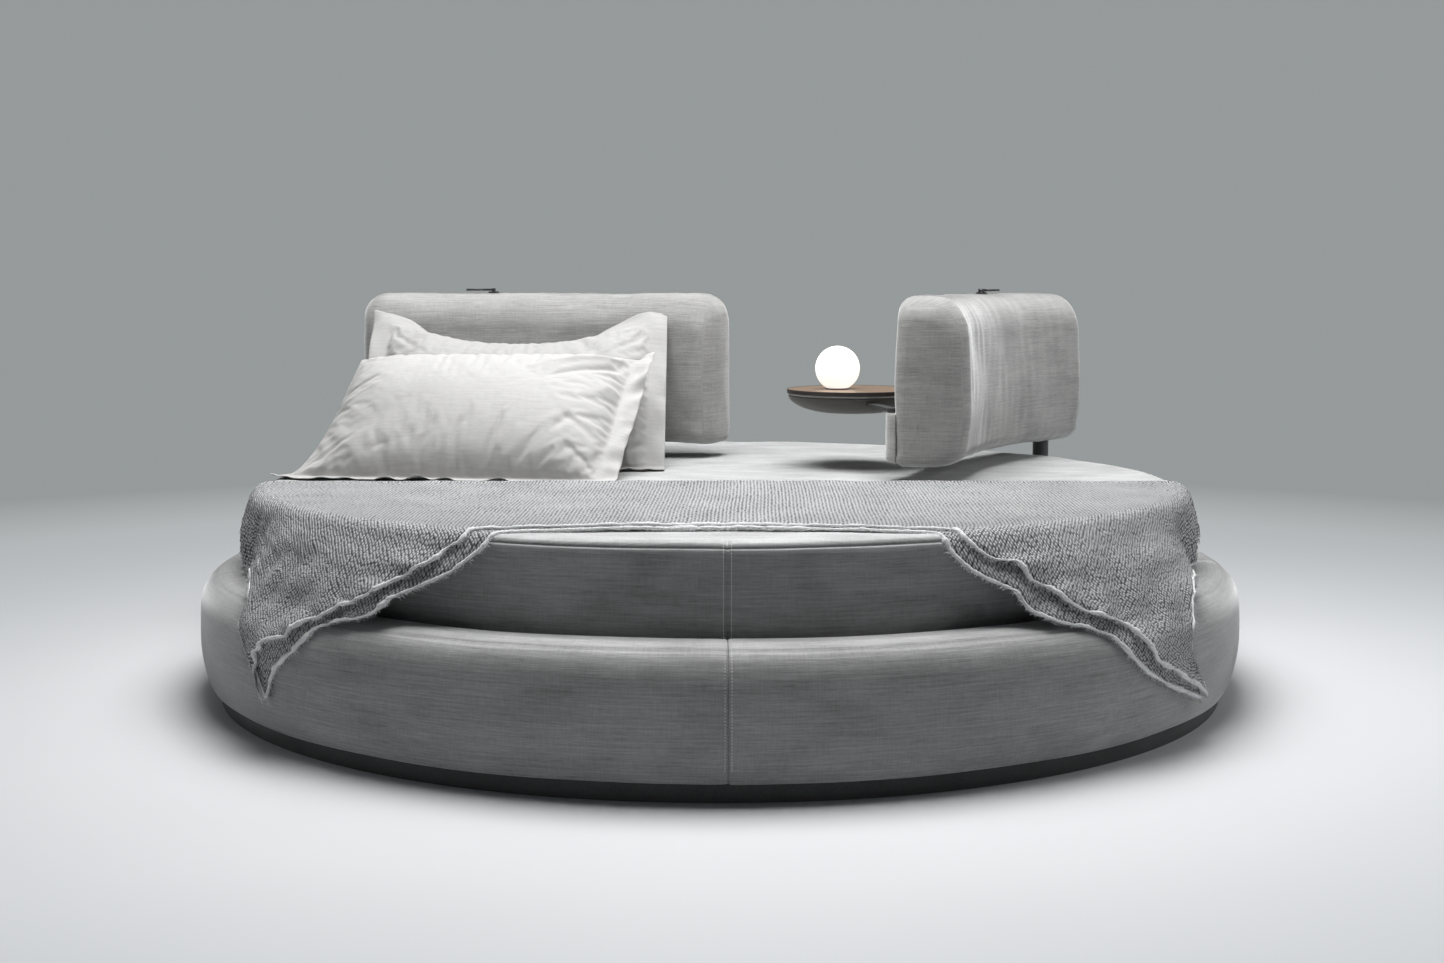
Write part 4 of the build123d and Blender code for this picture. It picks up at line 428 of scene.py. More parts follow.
def stitches(name, lines, pitch=0.0064, gauge=0.0014):
    """Beads along lines of (points, outward directions): each bead's rings follow the line from one
    needle hole to the next, on a half sine that lifts the middle."""
    rings, sides = 4, 5
    around = np.linspace(0, 2 * math.pi, sides, endpoint=False)
    points, faces = [], []
    for line, outwards in lines:
        way = ways(line)
        starts = np.arange(pitch / 2, way[-1] - pitch, pitch)
        share = np.linspace(0, 0.72, rings)
        places = starts[:, None] + share[None, :] * pitch
        at, out = read_at(places, way, line), read_at(places, way, outwards)
        ahead = np.gradient(at, axis=1)
        ahead /= np.linalg.norm(ahead, axis=2, keepdims=True)
        across = np.cross(ahead, out)
        bulge = np.sin(share / share[-1] * math.pi)
        at = at + out * (gauge * (0.7 * bulge - 0.25))[None, :, None]
        size = gauge * (0.45 + 0.55 * bulge) / 2
        ring = out[:, :, None] * np.cos(around)[:, None] + across[:, :, None] * np.sin(around)[:, None]
        beads = at[:, :, None] + ring * size[None, :, None, None]
        first = sum(len(p) for p in points) + np.arange(len(starts)) * rings * sides
        faces += tube_faces(first, rings, sides)
        points.append(beads.reshape(-1, 3))
    piece = add_piece(name, np.concatenate(points), faces)
    weld(piece, 1e-7)
    piece.data.materials.append(THREAD)
    print(name, len(piece.data.polygons), "faces")
    return piece


def around_bed(radius, height, turn):
    """Points at a radius, height and turn round the bed's axis."""
    return np.stack(np.broadcast_arrays(radius * np.cos(turn), radius * np.sin(turn), height), -1)


ring_rows = []
for start in (-math.pi / 2, math.pi / 2):
    for offset in (-0.0068, 0.0068):
        turn = start + BED_TURN + offset / 1.3
        shown = slice(8, -6)
        level = ring_relief(turn + 0 * ring_way, ring_way, abs(offset) + 0 * ring_way)
        line = around_bed(*(ring_line + ring_out * level[:, None]).T, turn)
        outwards = around_bed(*ring_out.T, turn)
        ring_rows.append((line[shown], outwards[shown]))
ring_stitches = stitches("ring_stitching", ring_rows)
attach(ring_stitches, "bed")

# %% [markdown]
# ## The mattress
# The mattress stands in the ring's well. Its cover has a wall and a top panel, joined by a seam just
# below the top edge, and the top is a little slack, so it is not quite level anywhere.

# %% Mattress
MATTRESS_SECTION = np.concatenate(
    [
        np.linspace((0.0, 0.2506), (1.145, 0.2506), 24),
        rounding((1.145, 0.2506), (1.165, 0.2506), (1.165, 0.2706), 7)[1:],
        np.linspace((1.165, 0.2706), (1.165, 0.470), 36)[1:],
        rounding((1.165, 0.470), (1.165, 0.500), (1.135, 0.500), 15)[1:],
        np.linspace((1.135, 0.500), (0.0, 0.500), 64)[1:],
    ]
)
way_edge = ways(MATTRESS_SECTION)
level_ways = [np.linspace(0, 1.14, 20), np.linspace(1.46, way_edge[-1], 80)]
rim_ways = [np.arange(1.14, 1.46, 0.005), np.arange(1.385, 1.435, 0.0018)]
keep_ways = np.unique(np.concatenate(level_ways + rim_ways))
pad_line = read_at(keep_ways, way_edge, MATTRESS_SECTION)
slope = np.gradient(pad_line, keep_ways, axis=0)
pad_out = np.stack([slope[:, 1], -slope[:, 0]], 1) / np.linalg.norm(slope, axis=1)[:, None]
top_seam = way_of(pad_line, keep_ways, (1.1595, 0.487))
turns = np.linspace(0, 2 * math.pi, 400, endpoint=False)
turns = np.sort(np.concatenate([turns, -math.pi / 2 + BED_TURN + 2 * math.pi + np.arange(-9, 10) * 0.0016]))
turn, way = turns[:, None], keep_ways[None, :]
front = np.abs(turn - (1.5 * math.pi + BED_TURN)) * 1.165
on_wall = smooth_step(1.16, 1.2, way) * (1 - smooth_step(top_seam + 0.02, top_seam + 0.06, way))
on_top = smooth_step(top_seam + 0.03, top_seam + 0.12, way)
flat_x, flat_y = pad_line[None, :, 0] * np.cos(turn), pad_line[None, :, 0] * np.sin(turn)
level = -0.0026 * np.exp(-(((way - top_seam) / 0.0026) ** 2)) + 0 * turn
level += 0.0012 * np.exp(-(((way - top_seam - 0.011) / 0.006) ** 2))
level -= on_wall * (0.0026 * np.exp(-((front / 0.003) ** 2)) + 0.001 * np.exp(-((front / 0.012) ** 2)))
level += on_wall * 0.0014 * waves(turn * 1.165, way * 1.4, 21, 0.5)
level += on_top * (0.0011 * waves(flat_x, flat_y, 22, 0.5) - 0.0022)
radius = pad_line[None, :, 0] + pad_out[None, :, 0] * level
height = pad_line[None, :, 1] + pad_out[None, :, 1] * level
points = np.stack([radius * np.cos(turn), radius * np.sin(turn), height], -1)
wall_uv = np.stack(np.broadcast_arrays(turn * 1.165, way), -1)
top_uv = np.stack(np.broadcast_arrays(flat_x, flat_y), -1)
is_top = (keep_ways > top_seam)[None, :, None]
uv = np.where(is_top, top_uv, wall_uv)
uv = np.concatenate([uv, uv[:1]])
uv[-1, keep_ways <= top_seam, 0] += 2 * math.pi * 1.165
mattress = skin("mattress_upholstery", points, uv, loop_rows=True)
weld(mattress, 2e-5)
mattress.data.materials.append(MATTRESS_CLOTH)
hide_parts("mattress_cover", "mattress_core")
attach(mattress, "bed")
print("mattress", len(mattress.data.polygons), "faces, seam at", round(top_seam, 3))

mattress_rows = []
for offset in (-0.008, 0.008):
    turn = -math.pi / 2 + BED_TURN + offset / 1.165
    shown = (keep_ways > 1.2) & (keep_ways < top_seam + 0.035)
    mattress_rows.append((around_bed(*pad_line.T, turn)[shown], around_bed(*pad_out.T, turn)[shown]))
mattress_stitches = stitches("mattress_stitching", mattress_rows)
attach(mattress_stitches, "bed")

# %% [markdown]
# ## The backrests
# A backrest is foam on a curved panel, pulled tight in the same cloth: a hollow front, a rounder
# front edge, a soft top and drawn-in ends. Its section is a closed line of roundings; it is carried
# along the curve and shrinks into each end by a quarter circle, then closes over the end in rings.

# %% Where a backrest runs
POST = (0.9521, 0.7724)
REST_CURVE = 1.720
REST_BEARINGS = {"left": -8.9, "right": 243.8}
REST_LEAD = math.degrees(math.asin(0.475 / REST_CURVE))
REST_START, REST_END = -0.097, 0.974


def rest_place(side, along, across):
    """Plan points of a backrest: along its curve from the post and across to its hollow side, by the
    sine and cosine of the bearing that the curve has there."""
    sign = SIDES[side]
    first = math.radians(REST_BEARINGS[side] - sign * REST_LEAD)
    here = first + sign * along / REST_CURVE
    x = sign * (POST[0] + REST_CURVE * (np.sin(here) - math.sin(first)) - np.sin(here) * across)
    y = POST[1] + sign * (REST_CURVE * (math.cos(first) - np.cos(here)) + np.cos(here) * across)
    return x, y


def drawn_in(size, depth):
    """How far a quarter round of a size is still drawn in, at a depth from the end."""
    left = np.maximum(size - depth, 0)
    return size - np.sqrt(size**2 - left**2)


def rest_section(depth):
    """The closed section of a backrest as (across, height) at a depth from its end."""
    front, rear = 0.090 - drawn_in(0.058, depth), drawn_in(0.032, depth) - 0.090
    top, foot = 0.970 - drawn_in(0.072, depth), 0.539 + drawn_in(0.022, depth)
    soft = (front - rear) / 0.18
    heights = np.linspace(foot + 0.042, top - 0.11, 26)
    share = (heights - heights[0]) / (heights[-1] - heights[0])
    face = np.stack([front + 0.008 * soft * np.sin(share * math.pi), heights], 1)
    back = np.linspace(top - 0.042, foot + 0.02, 26)
    share = (back - back[-1]) / (back[0] - back[-1])
    back = np.stack([rear - 0.003 * soft * np.sin(share * math.pi), back], 1)
    parts = [
        rounding((rear, foot + 0.02), (rear, foot), (rear + 0.02, foot), 6),
        np.linspace((rear + 0.02, foot), (front - 0.07 * soft, foot), 10)[1:],
        rounding((front - 0.07 * soft, foot), (front, foot), (front, foot + 0.042), 12)[1:],
        face[1:],
        rounding((front, top - 0.11), (front, top), (front - 0.08 * soft, top), 16)[1:],
        np.linspace((front - 0.08 * soft, top), (rear + 0.042 * soft, top), 8)[1:],
        rounding((rear + 0.042 * soft, top), (rear, top), (rear, top - 0.042), 10)[1:],
        back[1:-1],
    ]
    return np.concatenate(parts)


# %% Backrest upholstery
def rest_upholstery(side, folds):
    """The padded skin of a backrest. Depths from the end follow a cosine, so that the rounding is
    fine near the end. Cosines and the given creases make it uneven. The cloth's map is measured from
    a point held on the hollow face; the lids and the first rows beside them get a flat map."""
    lid_rings, rows_beside_lid = 13, 8
    near = 0.095 * (1 - np.cos(np.linspace(0, math.pi / 2, 20)))
    middle = np.linspace(REST_START + 0.095, REST_END - 0.095, 74)[1:-1]
    along = np.concatenate([REST_START + near, middle, REST_END - near[::-1]])
    sections = np.stack([rest_section(min(s - REST_START, REST_END - s)) for s in along])
    steps = np.linalg.norm(np.diff(sections, axis=1, append=sections[:, :1]), axis=2)
    round_way = np.concatenate([np.zeros((len(along), 1)), np.cumsum(steps, 1)], 1)
    half_way = len(along) // 2
    held = np.argmin(np.hypot(*(sections[half_way] - np.array([0.098, 0.72])).T))
    round_way += sections[:, held, 1:] - round_way[:, held : held + 1]
    run = np.hypot(np.diff(along), np.diff(sections[:, held, 0]))
    run = np.concatenate([[0], np.cumsum(run)])
    v = round_way[half_way, None, :-1] + 0 * along[:, None]
    u = along[:, None] + 0 * v
    slope = (np.roll(sections, -1, 1) - np.roll(sections, 1, 1)) / 2
    out = np.stack([slope[..., 1], -slope[..., 0]], -1)
    out /= np.linalg.norm(out, axis=-1, keepdims=True)
    level = 0.0016 * waves(u, v, 31 + len(side), 0.42) + 0.0006 * waves(u, v * 0.4, 33 + len(side), 0.11)
    for fold in folds:
        level = level + crease(u, sections[..., 1], *fold) * smooth_step(-0.02, 0.03, sections[..., 0])
    formed = sections + out * level[..., None]
    centres = {0: formed[0].mean(0), -1: formed[-1].mean(0)}
    lids = {}
    for end in (0, -1):
        shares = np.linspace(0, 1, lid_rings + 1)[1:]
        lids[end] = np.stack([formed[end] + (centres[end] - formed[end]) * k for k in shares])
    stack = np.concatenate([lids[0][::-1], formed, lids[-1]])
    bulge = 0.0045 * np.sin(np.linspace(0, math.pi / 2, lid_rings + 1))[1:]
    places = np.concatenate([REST_START - bulge[::-1], along, REST_END + bulge])
    x, y = rest_place(side, places[:, None] + 0 * stack[..., 0], stack[..., 0])
    points = np.stack([x, y, stack[..., 1]], -1)
    reach = np.pad(run, lid_rings, mode="edge") + 5 * (side == "right")
    climb = np.pad(round_way, ((lid_rings, lid_rings), (0, 0)), mode="edge")
    uv = np.stack(np.broadcast_arrays(reach[:, None], climb), -1)
    end_face = np.zeros(len(places), bool)
    end_rows = lid_rings + rows_beside_lid
    end_face[:end_rows] = end_face[-end_rows:] = True
    closed = np.concatenate([stack, stack[:, :1]], 1)
    uv[end_face] = closed[end_face] + np.array([9.0, 0.0])
    piece = skin(f"{side}_backrest_upholstery", points, uv, loop_columns=True)
    weld(piece, 2e-5)
    piece.data.materials.append(BED_CLOTH)
    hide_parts(f"{side}_cushion")
    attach(piece, f"{side}_backrest")
    print(piece.name, len(piece.data.polygons), "faces")
    return piece


rest_folds = {
    "left": (((0.90, 0.93), (0.80, 0.87), 0.006, 0.0012), ((0.93, 0.60), (0.86, 0.66), 0.006, 0.001)),
    "right": (
        ((0.945, 0.905), (0.90, 0.862), 0.005, 0.0022),
        ((0.93, 0.93), (0.86, 0.90), 0.006, 0.0012),
        ((0.955, 0.60), (0.90, 0.64), 0.007, 0.0014),
        ((0.40, 0.90), (0.28, 0.86), 0.010, 0.0008),
    ),
}
for side in SIDES:
    rest_upholstery(side, rest_folds[side])

# %% [markdown]
# ## Console and tray
# The tray hangs from a small padded pillar on the end of the right backrest. Its top is a dark
# stained board in a bronze band, and below it is a dish padded in the bed's cloth with a thin
# piping at the rim. The dish's cloth is a much darker copy: painted shade under the tray. Dish and piping are
# profiles turned about the tray's middle.

# %% Turned pieces
TRAY = (0.36404, 0.35201)


def turned(name, section, centre, count=160, relief_of=None):
    """A section of (radius, height) points carried round an upright axis, closed at its poles."""
    line = np.asarray(section, float)
    way = ways(line)
    turn = np.linspace(0, 2 * math.pi, count, endpoint=False)[:, None]
    radius, height = line[None, :, 0] + 0 * turn, line[None, :, 1] + 0 * turn
    if relief_of is not None:
        radius, height = relief_of(turn, radius, height)
    points = np.stack([centre[0] + radius * np.cos(turn), centre[1] + radius * np.sin(turn), height], -1)
    ring = np.append(turn, 2 * math.pi)[:, None]
    uv = np.stack(np.broadcast_arrays(ring * line[:, 0].max(), way[None, :]), -1)
    return weld(skin(name, points, uv, loop_rows=True), 2e-5)


pad_low, pad_high = 0.6485, 0.697
dish = np.concatenate(
    [
        np.linspace((0.0, pad_low), (0.062, pad_low), 8),
        rounding((0.062, pad_low), (0.150, pad_low), (0.1755, 0.6875), 26)[1:],
        rounding((0.1755, 0.6875), (0.1772, 0.6905), (0.1772, 0.6935), 4)[1:],
        rounding((0.1772, 0.6935), (0.1772, pad_high), (0.1737, pad_high), 5)[1:],
        np.linspace((0.1737, pad_high), (0.0, pad_high), 14)[1:],
    ]
)

tray_dish = turned("tray_dish_upholstery", dish, TRAY)
tray_dish.data.materials.append(DISH_CLOTH_PAINTED_SHADE)
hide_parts("tray_pad")
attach(tray_dish, "tray")

# %% Piping with its twist
PIPING_RADIUS, PIPING_HEIGHT = 0.0025, 0.69985


def cord_relief(turn, radius, height):
    """A cord that is wound: its round section swells and thins by a twentieth along slanting lines."""
    along = turn * TRAY_RIM / 0.004
    around = np.linspace(0, 2 * math.pi, radius.shape[1])[None, :]
    swell = 1 + 0.05 * np.sin(along + around)
    return TRAY_RIM + (radius - TRAY_RIM) * swell, PIPING_HEIGHT + (height - PIPING_HEIGHT) * swell


round_turn = np.linspace(0, 2 * math.pi, 15)
TRAY_RIM = 0.1773 - PIPING_RADIUS
round_cord = np.stack(
    [TRAY_RIM + PIPING_RADIUS * np.cos(round_turn), PIPING_HEIGHT + PIPING_RADIUS * np.sin(round_turn)], 1
)
tray_cord = turned("tray_piping_cord", round_cord, TRAY, 900, cord_relief)
cord_finish, cord_tree, cord_shader = new_finish("pale_piping", (0.50, 0.49, 0.47), 0.85, Sheen_Weight=0.2)
cord_yarn = noise(cord_tree, stretched(cord_tree, "UV", (500, 900, 1), 0.7), 1.0, 2.0)
mottle(cord_tree, cord_shader, cord_yarn, (0.35, 0.65), (0.38, 0.37, 0.355), (0.60, 0.59, 0.57))
relief(cord_tree, cord_shader, cord_yarn, 0.0004)
tray_cord.data.materials.append(cord_finish)
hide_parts("tray_piping")
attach(tray_cord, "tray")

# %% Console pillar
console_centre = (0.899, -0.047)
console_rows = np.concatenate(
    [
        np.stack([np.linspace(0.060, 0.016, 5), np.full(5, 0.546)], 1),
        rounding((0.016, 0.546), (0, 0.546), (0, 0.562), 8)[1:],
        np.linspace((0, 0.562), (0, 0.667), 16)[1:],
        rounding((0, 0.667), (0, 0.672), (0.005, 0.672), 5)[1:],
        np.stack([np.linspace(0.005, 0.060, 6)[1:], np.full(5, 0.672)], 1),
    ]
)
pillar_radius = 0.075 - console_rows[:, :1]
half_turn = np.arccos(np.clip(0.0440 / np.maximum(pillar_radius, 0.0441), -1, 1))
round_share = np.linspace(-1, 1, 41)[None, :]
bulge_along = pillar_radius * np.sin(half_turn * round_share)
bulge_across = np.maximum(pillar_radius, 0.0441) * np.cos(half_turn * round_share)
back_share = np.linspace(1, -1, 16)[None, 1:-1]
back_along = pillar_radius * np.sin(half_turn) * back_share
console_along = console_centre[0] + np.concatenate([bulge_along, back_along], 1)
console_across = console_centre[1] - np.concatenate([bulge_across, 0.0440 + 0 * back_along], 1)
console_x, console_y = rest_place("right", console_along, console_across)
console_z = console_rows[:, 1:] + 0 * console_x
console_way = np.append(np.cumsum(np.full(console_x.shape[1], 0.0035)), 0.2)
console_uv = np.stack(np.broadcast_arrays(console_way[None, :], console_rows[:, 1:] + 2.0), -1)
console_points = np.stack([console_x, console_y, console_z], -1)
console = skin("console_upholstery", console_points, console_uv, loop_columns=True)
face_outwards(weld(console, 2e-5), close=True)
console.data.materials.append(BED_CLOTH)
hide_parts("console_pad")
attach(console, "right_backrest")

# %% [markdown]
# ## Hard parts
# The posts, plates, lights, boards and the lamp keep their exact CAD shapes and only get finishes.
# Each finish is a base colour with the small unevenness of the real thing: orange peel on powder
# coat, grain on wood, a soft drift in the light of the opal globe.


# %% Finishes for the hard parts
def coated(name, colour, roughness, peel=900, depth=0.00025, metallic=0.0):
    """Powder coat: one colour, a fine orange peel, and patches that shine a little more."""
    material, tree, shader = new_finish(name, colour, roughness, Metallic=metallic)
    place = stretched(tree, "Object", (1, 1, 1))
    patch = spread(tree, noise(tree, place, 9, 3.0), 0.3, 0.7, roughness - 0.07, roughness + 0.09)
    tree.links.new(patch, shader.inputs["Roughness"])
    dark, light = (tuple(c * k for c in colour) for k in (0.8, 1.25))
    mottle(tree, shader, noise(tree, place, 320, 2.0), (0.35, 0.65), dark, light)
    relief(tree, shader, noise(tree, place, peel, 1.0), depth, 0.6)
    return material


def grained(name, dark, light, scale, roughness, rings=14.0):
    """Wood: growth lines from a noise stretched along the grain, with short pores over them."""
    material, tree, shader = new_finish(name, light, roughness)
    lines = noise(tree, stretched(tree, "Object", scale), rings, 4.0, 0.6, 0.6)
    pores = noise(tree, stretched(tree, "Object", tuple(s * 9 for s in scale)), rings, 2.0)
    tone = calc(tree, "MULTIPLY_ADD", pores, 0.35, calc(tree, "MULTIPLY", lines, 0.65))
    mottle(tree, shader, tone, (0.38, 0.62), dark, light)
    relief(tree, shader, tone, 0.0003, 0.5)
    return material


def glowing(name, colour, strength, drift):
    """An opal surface that glows from inside, a little brighter in the middle of the drift."""
    material, tree, shader = new_finish(name, colour, 0.22, Emission_Color=(*colour, 1))
    cloud = noise(tree, stretched(tree, "Object", (1, 1, 1)), 6, 2.0)
    level = spread(tree, cloud, 0.3, 0.7, strength - drift, strength + drift)
    tree.links.new(level, shader.inputs["Emission Strength"])
    return material


foam_finish, foam_tree, foam_shader = new_finish("foam", (0.86, 0.80, 0.62), 0.95)
foam_cells = noise(foam_tree, stretched(foam_tree, "Object", (1, 1, 1)), 420, 2.0)
mottle(foam_tree, foam_shader, foam_cells, (0.3, 0.7), (0.74, 0.67, 0.50), (0.92, 0.87, 0.70))
relief(foam_tree, foam_shader, foam_cells, 0.0012)

PLY = grained("plywood", (0.50, 0.36, 0.22), (0.74, 0.60, 0.42), (1, 1, 22), 0.6, 4.0)
FINISHES = {
    "plinth": coated("plinth_black", (0.03, 0.03, 0.031), 0.55),
    "plywood": PLY,
    "timber": grained("softwood", (0.52, 0.36, 0.20), (0.72, 0.56, 0.36), (2, 14, 14), 0.62, 5.0),
    "foam": foam_finish,
    "steel": coated("satin_black", (0.045, 0.045, 0.047), 0.36),
    "zinc": coated("zinc_plate", (0.62, 0.62, 0.63), 0.34, 500, 0.0001, 1.0),
    "bush_plastic": coated("acetal", (0.82, 0.82, 0.79), 0.42, 300, 0.0001),
    "light_metal": coated("light_satin_black", (0.035, 0.035, 0.037), 0.32),
    "lens": glowing("milky_lens", (0.88, 0.87, 0.83), 0.12, 0.03),
    "tray_wood": grained("bronze_wood", (0.105, 0.060, 0.034), (0.25, 0.155, 0.092), (3, 26, 26), 0.34, 4.0),
    "tray_metal": coated("dark_bronze", (0.055, 0.048, 0.044), 0.34, metallic=0.6),
    "globe": glowing("opal_globe", (1.0, 0.965, 0.90), 0.85, 0.10),
    "led": glowing("warm_source", (1.0, 0.86, 0.66), 2.0, 0.2),
}
for subpart in frame["record"]["subparts"]:
    finish = FINISHES.get(subpart["material_slot"])
    for material_slot in NODES[subpart["node"]].material_slots if finish else ():
        material_slot.material = finish

# %% [markdown]
# ## The two pillows
# A pillow is a sewn case: a filled body inside a line of stitching, and a loose flat border of two
# layers outside it. The filling rounds the body between the stitch lines, the weight of the filling
# lets the top edge sag, and the linen folds where it is pinched at the corners. The body starts from
# a crown formula and takes its finest wrinkles from a cloth simulation of the same case.

# %% Washed linen
def washed_linen(name, colour):
    """Plain-woven linen with slubs. U and V run along its two yarns, both in metres."""
    material, tree, shader = new_finish(name, colour, 0.88, Sheen_Weight=0.12)
    shader.inputs["Specular IOR Level"].default_value = 0.2
    warp = noise(tree, stretched(tree, "UV", (1500, 110, 1)), 1.0, 2.0)
    weft = noise(tree, stretched(tree, "UV", (90, 1500, 1)), 1.0, 2.0)
    slub = noise(tree, stretched(tree, "UV", (14, 190, 1)), 1.0, 3.0)
    yarn = calc(tree, "MULTIPLY_ADD", warp, 0.5, calc(tree, "MULTIPLY", weft, 0.5))
    weave = calc(tree, "MULTIPLY_ADD", slub, 0.35, calc(tree, "MULTIPLY", yarn, 0.65))
    dark, light = (tuple(c * k for c in colour) for k in (0.88, 1.12))
    mottle(tree, shader, weave, (0.36, 0.64), dark, light)
    relief(tree, shader, weave, 0.0006, 0.7)
    return material


LINEN = {
    "pillow_front": washed_linen("washed_linen", (0.457, 0.453, 0.446)),
    # The rear pillow is the same linen in a darker copy: painted shade.
    "pillow_rear": washed_linen("washed_linen_rear_painted_shade", (0.385, 0.382, 0.376)),
}

# %% Pillow facts
STATIONS = (-1, -0.93, -0.76, -0.4, 0, 0.4, 0.76, 0.93, 1)
FULLNESS = (0.02, 0.36, 0.76, 0.97, 1, 0.97, 0.76, 0.36, 0.02)
SAGGING = (0, 0.09, 0.33, 0.83, 1, 0.83, 0.33, 0.09, 0)
CASE_HALF, CASE_BORDER, CASE_GAUGE, BED_TOP = 0.37, 0.05, 0.0014, 0.5042
PILLOWS = {
    "pillow_front": {"x": -0.6401, "foot": -0.0341, "height": 0.50, "half": 0.096, "lean": 40, "sag": 0.008},
    "pillow_rear": {"x": -0.5701, "foot": 0.2549, "height": 0.49, "half": 0.086, "lean": 51, "sag": 0.072},
}


def through(share, table):
    """A smooth curve through the values of a table: a cubic between its points, with the mean of the
    slopes beside each point."""
    here, values = np.asarray(STATIONS, float), np.asarray(table, float)
    slopes = np.gradient(values, here)
    k = np.clip(np.searchsorted(here, share, side="right") - 1, 0, len(here) - 2)
    step = here[k + 1] - here[k]
    t = np.clip((share - here[k]) / step, 0, 1)
    return (
        values[k] * (2 * t**3 - 3 * t**2 + 1)
        + slopes[k] * step * (t**3 - 2 * t**2 + t)
        + values[k + 1] * (3 * t**2 - 2 * t**3)
        + slopes[k + 1] * step * (t**3 - t**2)
    )


PILLOW_FOLDS = {
    "pillow_front": (
        ((-0.36, 0.02), (-0.20, 0.15), 0.012, 0.0060),
        ((-0.35, 0.06), (-0.13, 0.23), 0.015, 0.0046),
        ((-0.30, 0.015), (-0.10, 0.10), 0.011, 0.0050),
        ((-0.36, 0.30), (-0.26, 0.33), 0.009, 0.0050),
        ((-0.35, 0.24), (-0.24, 0.30), 0.010, -0.0030),
        ((-0.10, 0.02), (-0.06, 0.15), 0.013, 0.0042),
        ((0.00, 0.02), (-0.01, 0.13), 0.012, 0.0038),
        ((0.08, 0.02), (0.10, 0.16), 0.015, 0.0044),
        ((0.16, 0.02), (0.21, 0.12), 0.012, 0.0036),
        ((0.36, 0.47), (0.12, 0.36), 0.013, -0.0150),
        ((0.36, 0.43), (0.17, 0.31), 0.013, 0.0150),
        ((0.36, 0.36), (0.26, 0.16), 0.013, -0.0100),
        ((0.33, 0.30), (0.23, 0.10), 0.012, 0.0090),
        ((0.35, 0.12), (0.24, 0.18), 0.013, 0.0060),
        ((0.35, 0.03), (0.25, 0.10), 0.012, 0.0050),
        ((-0.34, 0.46), (-0.24, 0.39), 0.012, 0.0035),
    ),
    "pillow_rear": (
        ((-0.36, 0.46), (-0.22, 0.34), 0.013, 0.0060),
        ((-0.36, 0.37), (-0.26, 0.27), 0.012, 0.0046),
        ((-0.24, 0.45), (-0.17, 0.35), 0.013, 0.0050),
        ((-0.09, 0.40), (-0.07, 0.33), 0.013, 0.0044),
        ((0.02, 0.39), (0.02, 0.31), 0.014, 0.0042),
        ((0.12, 0.40), (0.09, 0.31), 0.013, 0.0044),
        ((0.25, 0.45), (0.18, 0.36), 0.013, 0.0052),
        ((0.36, 0.45), (0.24, 0.35), 0.013, 0.0062),
        ((0.36, 0.35), (0.26, 0.28), 0.012, 0.0048),
        ((0.36, 0.15), (0.24, 0.22), 0.013, 0.0046),
        ((-0.36, 0.10), (-0.24, 0.18), 0.013, 0.0042),
    ),
}


# %% Pillow shape
def body_of_case(facts, u, w, full_front):
    """Half thickness of the filled body and the place up the slope that its middle takes.
    The thickness is a lens up the slope, (1 - b²) to a power, times the fullness across: the power
    is 0.5, a round section, on a full front and 0.62, a flatter one, elsewhere."""
    a, b = np.clip(u / CASE_HALF, -1, 1), np.clip(2 * w / facts["height"] - 1, -1, 1)
    lens = np.clip(1 - b * b, 0, 1) ** (0.5 if full_front else 0.62)
    slope = w - through(a, SAGGING) * facts["sag"] * smooth_step(-0.6, 1, b)
    return through(a, FULLNESS) * facts["half"] * lens, slope


def border_waves(u, w, seed, height):
    """Soft waves of a loose border that grow from nothing at the stitches to its free edge."""
    beyond = np.maximum(np.abs(u) - CASE_HALF, 0) + np.maximum(-w, 0) + np.maximum(w - height, 0)
    share = np.clip(beyond / CASE_BORDER, 0, 1.3)
    return share, waves(u + 3 * (w > height / 2), w, seed, 0.16, 9)


